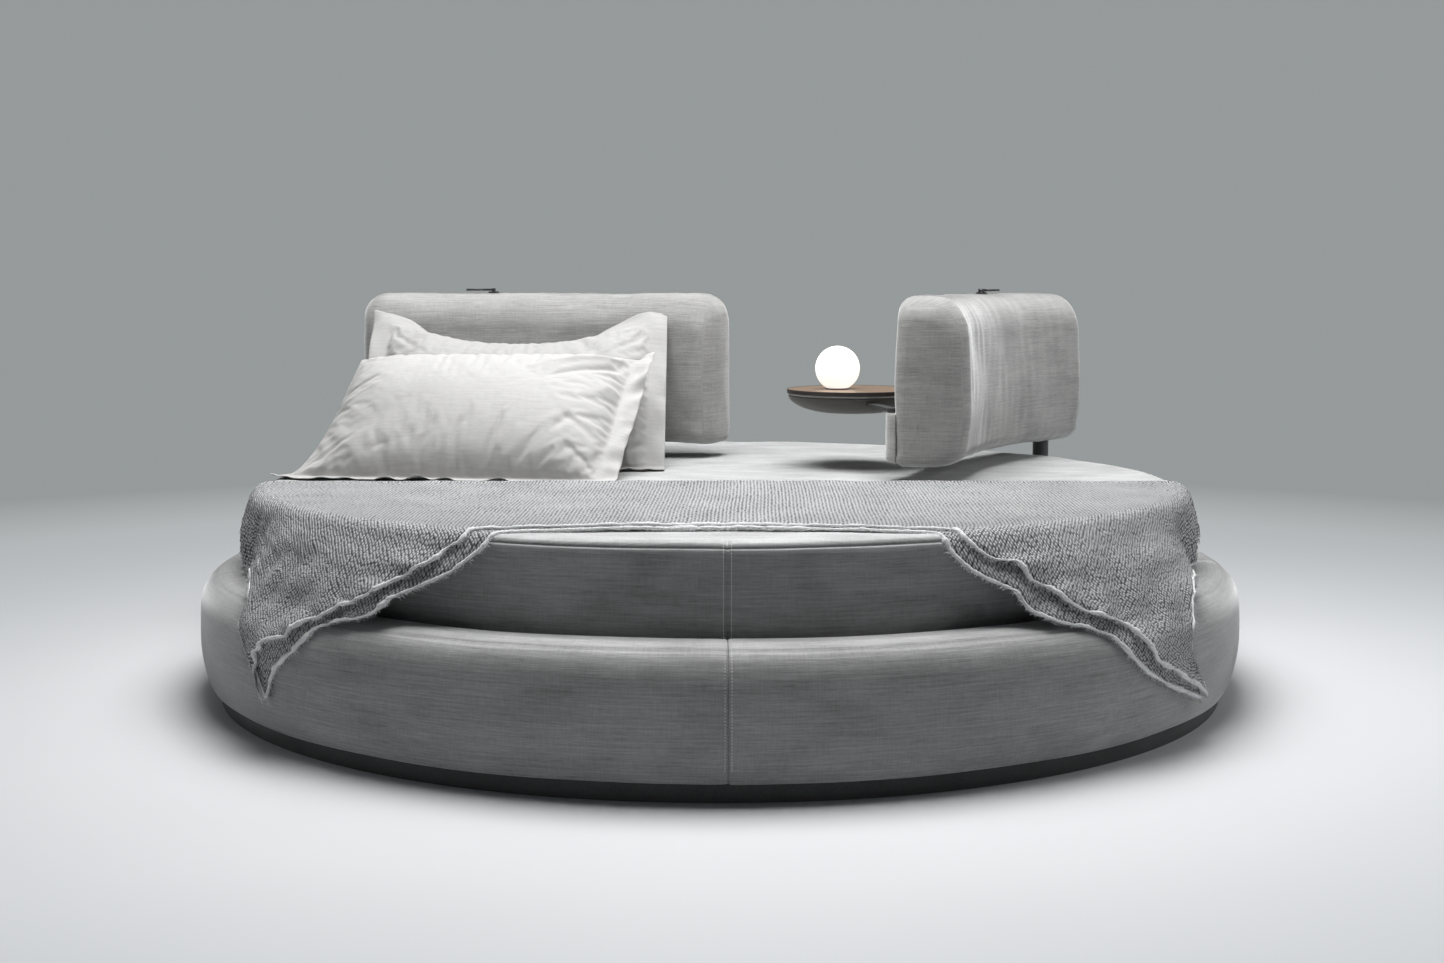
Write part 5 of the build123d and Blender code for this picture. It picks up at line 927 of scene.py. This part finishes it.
def case_points(name, facts, u, w, side, detail):
    """Room points of one side of a case. The body swells off the leaning plane, the foot border bends
    flat onto the bed, and the other borders fold back by the angles of their pillow."""
    front = name == "pillow_front"
    lean, tall = math.radians(facts["lean"]), facts["height"]
    half, slope = body_of_case(facts, u, np.clip(w, 0, tall), front and side > 0)
    half = half * (1.12 if front and side > 0 else 1)
    share, wave = border_waves(u, w, 5 if front else 9, tall)
    beyond_side = np.maximum(np.abs(u) - CASE_HALF, 0)
    beyond_top, beyond_foot = np.maximum(w - tall, 0), np.maximum(-w, 0)
    if front:
        top_fold = 1.95 * (1 - smooth_step(0.30, 0.42, u)) + 0.35
        side_fold = np.where(u < 0, 1.25 - 0.9 * smooth_step(0.10, -0.04, w), 0.25 + 0.2 * np.sin(w * 11))
        slope = slope * 0.905
    else:
        top_fold = 1.9 * (1 - smooth_step(0.08, 0.40, np.abs(u + 0.02))) + 0.06
        side_fold = np.where(u < 0, 0.05, 0.18) + 0 * w
    across = np.sign(u) * (np.minimum(np.abs(u), CASE_HALF) + beyond_side * np.cos(side_fold))
    climb = slope + beyond_top * np.cos(top_fold)
    lift = side * (half + CASE_GAUGE) + detail
    lift = lift - beyond_top * np.sin(top_fold) - beyond_side * np.sin(side_fold)
    loose = np.where(beyond_foot > 0, 0, np.where((u > 0.3) & front, 0.012, 0.006))
    lift = lift + wave * share * loose
    x = facts["x"] + across
    y = facts["foot"] + climb * math.cos(lean) - lift * math.sin(lean) - beyond_foot
    z = BED_TOP + climb * math.sin(lean) + lift * math.cos(lean)
    if front:
        share_up = np.clip(w / tall, 0, 1)
        x = x - 0.045 + 0.080 * np.clip(w / tall, -0.1, 1.1)
        x = x - 0.055 * (1 - share_up) ** 3 * smooth_step(0.05, 0.42, -u)
        y = y - 0.15 * (u - 0.12) * (1 - smooth_step(0.15, 0.8, w / tall))
        z = z + 0.022 * smooth_step(-0.37, -0.42, u) * smooth_step(0.05, -0.05, w)
    ripple = np.maximum(waves(u, 0 * w, 21 if front else 33, 0.13, 7), -0.25) + 0.25
    z = z + ripple * 0.0075 * np.clip(beyond_foot / CASE_BORDER, 0, 1) ** 1.5
    return np.stack([x, y, np.maximum(z, BED_TOP + side * CASE_GAUGE)], -1)


def two_layers(name, front, back, uv):
    """A closed case: a front and a back grid, joined by a strip of faces round their edges."""
    rows, columns = front.shape[:2]
    faces, places = grid_faces(rows, columns)
    count = rows * columns
    index = np.arange(count).reshape(rows, columns)
    rim = np.concatenate([index[0, :-1], index[:-1, -1], index[-1, :0:-1], index[:0:-1, 0]])
    ahead = np.roll(rim, -1)
    strip = np.stack([rim, rim + count, ahead + count, ahead], 1)
    flat = uv.reshape(-1, 2)
    strip_uv = flat[np.stack([rim, rim, ahead, ahead], 1)]
    corner_uv = np.concatenate([flat[faces], flat[faces[:, ::-1]] + np.array([2.0, 0]), strip_uv])
    everything = np.concatenate([faces, faces[:, ::-1] + count, strip])
    points = np.concatenate([front.reshape(-1, 3), back.reshape(-1, 3)])
    return face_outwards(add_piece(name, points, everything.tolist(), corner_uv))


def averaged(field, times):
    """A grid whose points moved to the mean of their neighbours, a number of times."""
    for _ in range(times):
        padded = np.pad(field, ((0, 0), (1, 1), (1, 1), (0, 0)), mode="edge")
        field = (padded[:, :-2, 1:-1] + padded[:, 2:, 1:-1] + padded[:, 1:-1, :-2] + padded[:, 1:-1, 2:]) / 4
    return field


def blown_wrinkles(name, front, back, u, w, tall, uv):
    """How far a cloth simulation moves each point off the plain form, less the broad swelling: the
    same case, cut 4.5% too large, pinned at its borders and blown up for 20 frames."""
    trial = two_layers("trial_case", front, back, uv)
    inside = (np.abs(u) < CASE_HALF - 0.003) & (w > 0.003) & (w < tall - 0.003)
    pinned = trial.vertex_groups.new(name="border")
    border = np.flatnonzero(~np.concatenate([inside.ravel(), inside.ravel()]))
    pinned.add(border.tolist(), 1.0, "REPLACE")
    cloth = trial.modifiers.new("case", "CLOTH")
    cloth.settings.quality = 4
    cloth.settings.mass = 0.12
    cloth.settings.bending_stiffness = 0.03
    cloth.settings.tension_stiffness = cloth.settings.compression_stiffness = 12
    cloth.settings.shear_stiffness = 3
    cloth.settings.use_pressure = True
    cloth.settings.uniform_pressure_force = 3.0
    cloth.settings.shrink_min = -0.045
    cloth.settings.vertex_group_mass = "border"
    cloth.settings.effector_weights.gravity = 0
    cloth.collision_settings.use_collision = False
    for step in range(1, 21):
        bpy.context.scene.frame_set(step)
    solved = trial.evaluated_get(bpy.context.evaluated_depsgraph_get())
    moved = np.empty(len(trial.data.vertices) * 3)
    solved.data.vertices.foreach_get("co", moved)
    moved = moved.reshape(2, *u.shape, 3) - np.stack([front, back])
    bpy.data.objects.remove(trial)
    bpy.context.scene.frame_set(1)
    fine = moved - averaged(moved, 22)
    fine = fine * np.minimum(1, 0.007 / np.maximum(np.linalg.norm(fine, axis=-1, keepdims=True), 1e-9))
    print(name, "simulated wrinkles up to mm", round(float(np.linalg.norm(fine, axis=-1).max()) * 1000, 1))
    return fine * inside[None, ..., None]


# %% Sew both pillows
for name, facts in PILLOWS.items():
    tall, border = facts["height"], CASE_BORDER
    u, w = np.meshgrid(
        np.linspace(-CASE_HALF - border, CASE_HALF + border, 121),
        np.linspace(-border, tall + border, 86),
        indexing="ij",
    )
    folds = sum(crease(u, w, *line) for line in PILLOW_FOLDS[name])
    small = waves(u, w, 41, 0.07, 14) * 0.0007
    from_stitches = (CASE_HALF - np.abs(u), w, tall - w)
    body_share = math.prod(smooth_step(0, 0.03, inwards) for inwards in from_stitches)
    front = case_points(name, facts, u, w, 1, (folds + small) * body_share)
    back = case_points(name, facts, u, w, -1, small * body_share)
    uv = np.stack([u + 6, w + 3 * (name == "pillow_rear")], -1)
    fine = blown_wrinkles(name, front, back, u, w, tall, uv)
    front, back = front + fine[0], back + fine[1]
    front[..., 2] = np.maximum(front[..., 2], BED_TOP + CASE_GAUGE)
    back[..., 2] = np.maximum(back[..., 2], BED_TOP - CASE_GAUGE)
    case = two_layers(f"{name}_case", front, back, uv)
    finer = case.modifiers.new("finer", "SUBSURF")
    finer.levels = finer.render_levels = 1
    case.data.materials.append(LINEN[name])
    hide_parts(name)
    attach(case, "bed")
    print(case.name, "box", front.min((0, 1)).round(3), front.max((0, 1)).round(3))

# %% [markdown]
# ## The throw
# The throw is one coarse woven cloth, folded in half with its fold towards the pillows, and laid
# across the foot of the bed. Both its ends run over the rim of the mattress and lean out to the ring.
# Each weft row of the cloth is one line of points: it starts at the left hem, climbs to the rim,
# crosses the top and comes down to the right hem. The lower half follows the same rows a little
# deeper, and its front edge shows below the upper one.

# %% How the cloth falls from the rim
RIM_RADIUS, RIM_HEIGHT, RIM_BEND = 1.137, 0.472, 0.0316
LEAN_OUT, UPRIGHT = math.radians(58.3), math.radians(90)


def fall(angle, kink_at):
    """Radius, height and slope of cloth at each way down from the rim: it bends over the rim to an
    angle, runs straight, and turns upright in a soft bend. The slope is added up along the way."""
    way = np.linspace(0, 0.62, 1241)
    slope = np.minimum(way / RIM_BEND, angle)
    slope = slope + (UPRIGHT - angle) * smooth_step(kink_at - 0.03, kink_at + 0.03, way)
    step = way[1]
    radius = RIM_RADIUS + np.concatenate([[0], np.cumsum(np.cos(slope[:-1]) * step)])
    height = RIM_HEIGHT + RIM_BEND - np.concatenate([[0], np.cumsum(np.sin(slope[:-1]) * step)])
    return way, radius, height, slope


FALLS = {"leaning": fall(LEAN_OUT, 0.300), "upright": fall(UPRIGHT, 0.2)}


def fall_place(bearing, way, off, upright):
    """Room points on the falling cloth at a bearing, a way down from the rim and off its surface.
    The leaning and the upright fall are mixed by a weight."""
    parts = []
    for kind, weight in (("leaning", 1 - upright), ("upright", upright)):
        ways, radii, heights, slopes = FALLS[kind]
        slope = np.interp(way, ways, slopes)
        radius = np.interp(way, ways, radii) + off * np.sin(slope)
        height = np.interp(way, ways, heights) + off * np.cos(slope)
        parts.append((radius * weight, height * weight))
    radius, height = (sum(values) for values in zip(*parts))
    turn = np.radians(bearing)
    return np.stack([radius * np.cos(turn), radius * np.sin(turn), height], -1)


def way_down(height, upright):
    """The way down from the rim at which the falling cloth has a height."""
    ways = [np.interp(-np.asarray(height), -FALLS[k][2], FALLS[k][0]) for k in ("leaning", "upright")]
    return ways[0] * (1 - upright) + ways[1] * upright


def hangs_upright(bearing):
    """1 where the cloth hangs beside the mattress, 0 where it leans out to the ring."""
    return smooth_step(57, 66, np.abs(bearing - 270))


# %% Edges of the cloth
# Hems are points of (share of the way from front edge to fold, bearing, height). The front edges of both
# halves were read as places of the picture. Some are then moved one by one: a third number turns a
# point on by degrees, a fourth raises it by millimetres. The last points are given as bearing and height.
LEFT_HEM = (
    (0, 222.0, 0.129), (0.06, 220.1, 0.172), (0.12, 218.0, 0.222), (0.18, 216.4, 0.262),
    (0.27, 215.0, 0.318), (0.35, 212.5, 0.358), (0.43, 208.6, 0.366), (0.52, 204.5, 0.345),
    (0.64, 199.5, 0.335), (0.76, 194.8, 0.350), (0.88, 190.6, 0.385), (1, 187.4, 0.430),
)  # fmt: skip
RIGHT_HEM = (
    (0, 324.2, 0.107), (0.06, 324.0, 0.140), (0.11, 322.6, 0.165), (0.18, 321.4, 0.208),
    (0.25, 321.0, 0.255), (0.33, 323.4, 0.312), (0.41, 327.0, 0.350), (0.50, 331.5, 0.355),
    (0.62, 337.0, 0.338), (0.76, 342.5, 0.352), (0.88, 348.0, 0.392), (1, 351.8, 0.436),
)  # fmt: skip
PICTURE_SIZE = (1444, 963)
SEEN_EDGES = {
    ("left", "upper"): (
        (462.7, 540.5), (446.8, 548.4), (435.5, 561), (424, 567.7), (412.7, 573.4), (394.5, 583.6),
        (376.4, 596), (349, 606), (326, 615.5), (303.6, 624.5), (287.7, 637), (269.5, 639.3),
        (258, 651.8), (257, 670),
    ),
    ("left", "lower"): (
        (483, 549.5, 0, 8), (451, 570), (422, 583.6), (394.5, 597), (376, 615, 0, 6), (360, 618),
        (337.7, 619, 0, -5), (317, 624.5, 0, -5), (303.6, 638, -0.2, -3), (296.8, 649.5, -0.5),
        (285.5, 658.6, -0.4), (265, 665.5, 1.7),
    ),
    ("right", "upper"): (
        (961, 539), (977.6, 551), (994, 560.5), (1013, 563), (1030, 582), (1046.7, 586.7), (1063, 601),
        (1082, 610.5), (1101, 617.6), (1125, 623.6), (1139.5, 639), (1156, 660.5), (1177.6, 673.6),
    ),
    ("right", "lower"): (
        (953.8, 560.5, 0, 17), (977.6, 572.4), (1011, 582, -1), (1013, 591, 0.3), (1030, 605.7),
        (1053.8, 618.8), (1096.7, 624.8, -1), (1115.7, 634.3, -0.5), (1132.4, 653.3, -0.2),
        (1149, 672.4, -0.1), (1175, 689, 0, 4),
    ),
}  # fmt: skip
EDGE_ENDS = {
    ("left", "upper"): ((222.0, 0.129),),
    ("left", "lower"): ((222.6, 0.160), (222.3, 0.124)),
    ("right", "upper"): ((322.0, 0.140), (324.2, 0.107)),
    ("right", "lower"): ((321.8, 0.118), (324.0, 0.101)),
}


def hanging_radius(height):
    """About how far from the bed's axis the cloth hangs at a height: it starts at the rim of the
    mattress, slants out to the ring and lies upright on it."""
    if height > 0.487:
        return 1.150
    if height > 0.262:
        return 1.165 + 0.139 * (0.487 - height) / (0.487 - 0.262)
    return 1.306


def seen(x, y, turned_on=0, raised=0):
    """Bearing in degrees and height in metres of the cloth that the viewer sees at a place of the
    picture, in pixels from its upper left corner. The line of sight meets a cylinder as wide as the
    cloth at the height found, again and again until the height settles. The point may then be
    turned on by degrees and raised by millimetres. The results are rounded to 0.1 degree and 1 mm."""
    focal = camera_data.lens / camera_data.sensor_width * PICTURE_SIZE[0]
    right, up = (x - PICTURE_SIZE[0] / 2) / focal, (PICTURE_SIZE[1] / 2 - y) / focal
    cosine, sine = math.cos(math.radians(CAMERA_FALL)), math.sin(math.radians(CAMERA_FALL))
    sight = np.array([right, cosine + up * sine, up * cosine - sine])
    place = np.array(CAMERA_PLACE)
    height = 0.4
    for _ in range(60):
        square, cross = sight[:2] @ sight[:2], place[:2] @ sight[:2]
        rest = place[:2] @ place[:2] - hanging_radius(height) ** 2
        point = place + sight * (-cross - math.sqrt(cross**2 - square * rest)) / square
        height = (height + point[2]) / 2
    bearing = round(math.degrees(math.atan2(point[1], point[0])) % 360, 1)
    return round(bearing + turned_on, 1), round(round(point[2], 3) + raised / 1000, 3)


FRONT_EDGES = {}
for edge, points in SEEN_EDGES.items():
    FRONT_EDGES[edge] = [seen(*point) for point in points] + list(EDGE_ENDS[edge])
CLOTH_REAR = -0.1311
CLOTH_FRONT = {"left": -1.000, "right": -1.040}
HANG_COLUMNS, TOP_COLUMNS = 56, 96


def edge_curve(points, shares):
    """Bearing and way down at shares of the length of a front edge, started on the rim."""
    bearing, height = np.array(points, float).T
    way = way_down(height, hangs_upright(bearing))
    first = bearing[0] + (bearing[1] - bearing[0]) * -0.2
    line = np.concatenate([[[first, 0]], np.stack([bearing, way], 1)])
    length = np.hypot(np.diff(line[:, 0]) * 0.021, np.diff(line[:, 1]))
    along = np.concatenate([[0], np.cumsum(length)]) / length.sum()
    return np.interp(shares, along, line[:, 0]), np.interp(shares, along, line[:, 1])


def cloth_folds(bearing, way):
    """How far the falling cloth stands off: upright folds beside the mattress, slow slanting ones
    where it leans out, both growing from nothing at the rim. Where the ring is it hardly dips."""
    upright = hangs_upright(bearing)
    grow = smooth_step(0.0, 0.13, way)
    arc = np.radians(bearing) * 1.15
    folds = 0.013 * np.sin(arc * 2 * math.pi / 0.088 + 1.2 * np.sin(arc * 9)) + 0.004 * np.sin(arc * 131)
    slow = 0.0055 * np.sin((arc * 7.5 - way * 13)) + 0.0030 * waves(arc, way, 71, 0.16, 9)
    near_ring = smooth_step(0.22, 0.29, way) * (1 - upright)
    slow = slow * (1 - near_ring) + np.maximum(slow, -0.0005) * near_ring
    return grow * ((folds + 0.012) * upright + slow * (1 - upright) + 0.0012 * waves(arc, way, 77, 0.05, 10))


def cloth_layer(layer, rows, off):
    """The grid of one half of the cloth: rows from 0 at the front edge to 1 at the fold, each given
    with its distance off the surface. Hanging parts mix the front edge's own line with straight
    rows, and the edge's part in it is gone halfway to the fold."""
    rows, off = rows[:, None], off[:, None]
    span = np.linspace(0, 1, HANG_COLUMNS)[None, :]
    grids = {}
    for side, hem in (("left", LEFT_HEM), ("right", RIGHT_HEM)):
        share, hem_bearing, hem_height = np.array(hem, float).T
        ends = np.interp(rows, share, hem_bearing), np.interp(rows, share, hem_height)
        end_way = way_down(ends[1] - (0.007 if layer == "lower" else 0), hangs_upright(ends[0]))
        level = CLOTH_FRONT[side] + (CLOTH_REAR - CLOTH_FRONT[side]) * np.clip(rows, 0, 1)
        rim = np.degrees(np.arcsin(np.clip(level / RIM_RADIUS, -1, 1)))
        rim = 180 - rim if side == "left" else 360 + rim
        bearing, way = rim + (ends[0] - rim) * span, end_way * span
        edge = edge_curve(FRONT_EDGES[side, layer], span[0])
        fade = np.clip(1 - rows / 0.5, 0, 1) ** 2
        bearing = bearing + (edge[0] - bearing[:1])[None, 0] * fade
        way = way + (edge[1] - way[:1])[None, 0] * fade
        stand = off + cloth_folds(bearing, way)
        if layer == "upper":
            curl = (1 - smooth_step(0, 0.07, rows)) * smooth_step(0.03, 0.2, span)
            stand = stand + curl * (0.007 + 0.004 * np.sin(span * 41) + 0.002 * np.sin(span * 97))
        grids[side] = fall_place(bearing, way, stand, hangs_upright(bearing))
    left, right = grids["left"][:, :1], grids["right"][:, :1]
    across = np.linspace(0, 1, TOP_COLUMNS + 2)[None, 1:-1, None]
    top = left + (right - left) * across
    inner = np.sin(across[..., 0] * math.pi) ** 0.5
    x, y = top[..., 0], top[..., 1]
    soft = waves(x, y, 81, 0.45, 10) * 0.0011 + waves(x, y, 83, 0.12, 10) * 0.0005
    top[..., 2] += (np.maximum(soft, -0.0012) + 0.0012) * inner
    top[..., 1] += 0.062 * inner**1.4 * np.clip(1 - rows / 0.5, 0, 1) ** 2
    return np.concatenate([grids["left"][:, ::-1], top, grids["right"]], 1)


# %% Weave
def basket_weave(name, dark, light, pitch=0.0082):
    """Thick yarns over and under each other: every nub is a cell of a grid whose points stray a
    little, and its height falls from the cell's point to the gap round it. The colour follows that
    height, so the gaps get painted shade, with random patches over it."""
    material, tree, shader = new_finish(name, light, 0.95, Sheen_Weight=0.15, Sheen_Roughness=0.5)
    shader.inputs["Specular IOR Level"].default_value = 0.15
    place = stretched(tree, "UV", (1 / pitch, 1.15 / pitch, 1))
    cells = tree.nodes.new("ShaderNodeTexVoronoi")
    cells.voronoi_dimensions = "2D"
    cells.inputs["Scale"].default_value = 1.0
    cells.inputs["Randomness"].default_value = 0.38
    tree.links.new(place, cells.inputs["Vector"])
    nub = spread(tree, cells.outputs["Distance"], 0.10, 0.62, 1.0, 0.0)
    fluff = noise(tree, place, 2.3, 3.0)
    height = calc(tree, "MULTIPLY_ADD", fluff, 0.5, calc(tree, "MULTIPLY", nub, 0.75))
    patch = noise(tree, stretched(tree, "UV", (7, 7, 1)), 1.0, 3.0)
    # Painted shade: the tone falls with the nub's height to near black in the gaps, with random patches over
    # it.
    tone = calc(tree, "MULTIPLY_ADD", patch, 0.30, calc(tree, "SUBTRACT", height, 0.15))
    mottle(tree, shader, tone, (0.21, 0.94), dark, light)
    relief(tree, shader, height, 0.0040, 0.9)
    return material


# The dark tone is painted shade in the gaps between the nubs.
THROW_CLOTH = basket_weave("coarse_basket_weave", (0.022, 0.025, 0.028), (0.62, 0.63, 0.635))
YARN, yarn_tree, yarn_shader = new_finish("loose_yarn", (0.62, 0.63, 0.63), 0.95, Sheen_Weight=0.25)
yarn_fluff = noise(yarn_tree, stretched(yarn_tree, "Object", (1, 1, 1)), 260, 3.0)
mottle(yarn_tree, yarn_shader, yarn_fluff, (0.3, 0.7), (0.52, 0.53, 0.535), (0.82, 0.83, 0.83))
relief(yarn_tree, yarn_shader, yarn_fluff, 0.0008)

# %% Lay the throw
ROWS = np.linspace(0, 1, 88)
upper_off = 0.0036 + 0.0032 * smooth_step(0.955, 0.985, ROWS) - 0.0032 * smooth_step(0.985, 1.0, ROWS)
lower_off = np.full(ROWS.shape, -0.0010)
upper_layer = cloth_layer("upper", ROWS, upper_off)
lower_layer = cloth_layer("lower", ROWS, lower_off)
bend_rows = np.linspace(0, math.pi, 7)[1:-1, None, None]
rear_push = np.array([0, 1.0, 0])
bend = (upper_layer[-1] + lower_layer[-1]) / 2 + (upper_layer[-1] - lower_layer[-1]) / 2 * np.cos(bend_rows)
bend = bend + rear_push * 0.0035 * np.sin(bend_rows)
throw_points = np.concatenate([upper_layer, bend, lower_layer[::-1]])
middle_column = throw_points.shape[1] // 2
steps = np.linalg.norm(np.diff(throw_points, axis=1), axis=2)
throw_across = np.concatenate([np.zeros((len(throw_points), 1)), np.cumsum(steps, 1)], 1)
throw_across -= throw_across[:, middle_column : middle_column + 1]
steps = np.linalg.norm(np.diff(throw_points, axis=0), axis=2)
throw_along = np.concatenate([np.zeros((1, throw_points.shape[1])), np.cumsum(steps, 0)])
throw_along -= throw_along[len(ROWS) : len(ROWS) + 1]
throw_uv = np.stack([throw_across + 2, throw_along + 2], -1)
throw = skin("throw_cloth", throw_points, throw_uv)
thicken(throw, 0.0022, 0.0)
throw.data.materials.append(THROW_CLOTH)
cut = np.ptp(throw_across, axis=1).mean(), np.ptp(throw_along, axis=0).max()
print("throw cut across and along", np.round(cut, 2))

# %% Frayed edges
edge_lines = []
for first, second in ((upper_layer[0], upper_layer[1]), (lower_layer[0], lower_layer[1])):
    edge_lines.append((first, first - second))
for layer in (upper_layer, lower_layer):
    edge_lines.append((layer[:, 0], layer[:, 0] - layer[:, 1]))
    edge_lines.append((layer[:, -1], layer[:, -1] - layer[:, -2]))


def along_edge(line, outward, spacing):
    """Points an even way apart on an edge, with unit directions off the cloth and along the edge."""
    way = ways(line)
    places = np.linspace(0, way[-1], int(way[-1] / spacing) + 2)
    at, out = read_at(places, way, line), read_at(places, way, outward)
    out /= np.linalg.norm(out, axis=1, keepdims=True)
    ahead = np.gradient(at, axis=0)
    ahead /= np.linalg.norm(ahead, axis=1, keepdims=True)
    return at, out, ahead


def frayed(name, spacing, longest, seed):
    """Loose warp ends: thin three-sided strands, each bent by its own random turn and drawn down by
    its weight, with the rings of all strands worked out at once."""
    rng = np.random.default_rng(seed)
    rings, sides = 4, 3
    points, faces = [], []
    for line, outward in edge_lines:
        at, out, ahead = along_edge(line, outward, spacing)
        count = len(at)
        up = np.cross(out, ahead)
        swing, lift = rng.normal(0, 0.55, (count, 1)), rng.normal(0, 0.35, (count, 1))
        reach = longest * rng.uniform(0.5, 1.0, (count, 1))
        way = np.linspace(0, 1, rings)[None, :, None]
        course = out[:, None] * (way - 0.25 * way**2) + (ahead * swing)[:, None] * way
        course = course + (up * lift)[:, None] * way**2
        spine = at[:, None] + course * reach[:, None] - np.array([0, 0, 1.0]) * 0.25 * reach[:, None] * way**2
        around = np.linspace(0, 2 * math.pi, sides, endpoint=False)[None, None, :, None]
        size = (0.0011 * (1 - 0.75 * way))[..., None]
        ring = ahead[:, None, None] * np.cos(around) + up[:, None, None] * np.sin(around)
        first = sum(len(p) for p in points) + np.arange(count) * rings * sides
        faces += tube_faces(first, rings, sides, -1)
        points.append((spine[:, :, None] + ring * size).reshape(-1, 3))
    piece = add_piece(name, np.concatenate(points), faces)
    piece.data.materials.append(YARN)
    print(name, len(faces), "faces")
    return piece


def edge_rolls(name, radius):
    """The curled edge: a soft tube along each edge whose thickness wanders, closed at both ends."""
    pieces, sides = [], 8
    for number, (line, outward) in enumerate(edge_lines):
        at, out, ahead = along_edge(line, outward, 0.0042)
        up = np.cross(out, ahead)
        turn = np.linspace(0, 2 * math.pi, sides, endpoint=False)[None, :, None]
        place = np.arange(len(at)) * 0.0042
        swell = 1 + 0.28 * waves(place, 0 * place, 90 + number, 0.05, 8) + 0.12 * np.sin(place * 900)
        size = radius * (1 if number < 2 else 0.62) * np.clip(swell, 0.6, 1.5)
        size[[0, -1]] = 0
        tube = at[:, None] + (out[:, None] * np.cos(turn) + up[:, None] * np.sin(turn)) * size[:, None, None]
        pieces.append((tube.reshape(-1, 3), grid_faces(*tube.shape[:2], loop_columns=True)[0]))
    starts = np.cumsum([0] + [len(p) for p, _ in pieces[:-1]])
    faces = np.concatenate([f + s for (_, f), s in zip(pieces, starts)])
    piece = weld(add_piece(name, np.concatenate([p for p, _ in pieces]), faces.tolist()), 1e-6)
    piece.data.materials.append(YARN)
    print(name, len(faces), "faces")
    return piece


fringe = frayed("throw_fringe", 0.0019, 0.018, 12)
rolls = edge_rolls("throw_edge_rolls", 0.0054)
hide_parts("throw")
for piece in (throw, fringe, rolls):
    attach(piece, "bed")

# %% [markdown]
# ## Floor and light
# The bed stands on a plain pale floor under one wide soft lamp, with a weaker one at each side and a
# faint even light from all round. The viewer sees plain grey where that even light comes from.

# %% Floor
STUDIO_GREY, FLOOR_NEAR = (0.305, 0.325, 0.326), (0.60, 0.625, 0.645)
floor_finish, floor_tree, floor_shader = new_finish("studio_floor", (0.63, 0.64, 0.655), 0.6)
floor_place = stretched(floor_tree, "Object", (1, 1, 1))
floor_mottle = noise(floor_tree, floor_place, 0.8, 2.0)
FLOOR_DARK, FLOOR_LIGHT = (0.615, 0.626, 0.642), (0.635, 0.646, 0.662)
mottle(floor_tree, floor_shader, floor_mottle, (0.3, 0.7), FLOOR_DARK, FLOOR_LIGHT)
reach = np.linspace(-14, 14, 15)
floor_x, floor_y = np.meshgrid(reach, reach, indexing="ij")
floor = skin("floor", np.stack([floor_x, floor_y, 0 * floor_x], -1), np.stack([floor_x, floor_y], -1))
floor.data.materials.append(floor_finish)

# %% Far floor
# Far out the floor passes into the grey of the studio: what the viewer sees there is a plain tone
# by the distance from the bed, which gives no light to anything.
away = floor_tree.nodes.new("ShaderNodeVectorMath")
away.operation = "LENGTH"
floor_tree.links.new(floor_place, away.inputs[0])
far_tone = tint(floor_tree, spread(floor_tree, away.outputs["Value"], 2.2, 5.0), FLOOR_NEAR, STUDIO_GREY)
far_glow = floor_tree.nodes.new("ShaderNodeEmission")
floor_tree.links.new(far_tone, far_glow.inputs["Color"])
floor_rays = floor_tree.nodes.new("ShaderNodeLightPath")
far_start = spread(floor_tree, away.outputs["Value"], 1.75, 3.6)
far_share = calc(floor_tree, "MULTIPLY", floor_rays.outputs["Is Camera Ray"], far_start)
floor_mix = floor_tree.nodes.new("ShaderNodeMixShader")
floor_tree.links.new(far_share, floor_mix.inputs["Fac"])
floor_tree.links.new(floor_shader.outputs[0], floor_mix.inputs[1])
floor_tree.links.new(far_glow.outputs[0], floor_mix.inputs[2])
floor_tree.links.new(floor_mix.outputs[0], floor_tree.nodes["Material Output"].inputs["Surface"])

# %% Light
world = bpy.data.worlds.new("studio")
world.use_nodes = True
bpy.context.scene.world = world
world_tree = world.node_tree
sky = world_tree.nodes["Background"]
sky.inputs["Color"].default_value = (0.93, 0.96, 1.0, 1)
seen = world_tree.nodes.new("ShaderNodeBackground")
seen.inputs["Color"].default_value = (*STUDIO_GREY, 1)
seen.inputs["Strength"].default_value = 1.0
sky.inputs["Strength"].default_value = 0.06
rays = world_tree.nodes.new("ShaderNodeLightPath")
blend_rays = world_tree.nodes.new("ShaderNodeMixShader")
shown = calc(world_tree, "MAXIMUM", rays.outputs["Is Camera Ray"], rays.outputs["Is Transmission Ray"])
shown = calc(world_tree, "MAXIMUM", shown, rays.outputs["Is Glossy Ray"])
world_tree.links.new(shown, blend_rays.inputs["Fac"])
world_tree.links.new(sky.outputs[0], blend_rays.inputs[1])
world_tree.links.new(seen.outputs[0], blend_rays.inputs[2])
world_tree.links.new(blend_rays.outputs[0], world_tree.nodes["World Output"].inputs["Surface"])


def lamp(name, place, target, size, power, colour=(1, 1, 1)):
    """A square soft lamp that looks at a target."""
    data = bpy.data.lights.new(name, "AREA")
    data.shape, data.size, data.energy, data.color = "SQUARE", size, power, colour
    holder = bpy.data.objects.new(name, data)
    direction = np.array(target, float) - np.array(place, float)
    level = math.hypot(direction[0], direction[1])
    holder.location = place
    holder.rotation_euler = (math.atan2(level, -direction[2]), 0, math.atan2(-direction[0], direction[1]))
    bpy.context.scene.collection.objects.link(holder)


lamp("overhead", (0.0, -0.25, 3.6), (0, -0.2, 0.4), 2.6, 222)
lamp("left_fill", (-4.6, 0.6, 2.2), (-1.0, 0.2, 0.3), 1.6, 10)
lamp("right_fill", (4.6, 0.2, 2.2), (1.0, 0.2, 0.3), 1.6, 46)

# %% Settings
bpy.context.scene.view_settings.view_transform = "Standard"
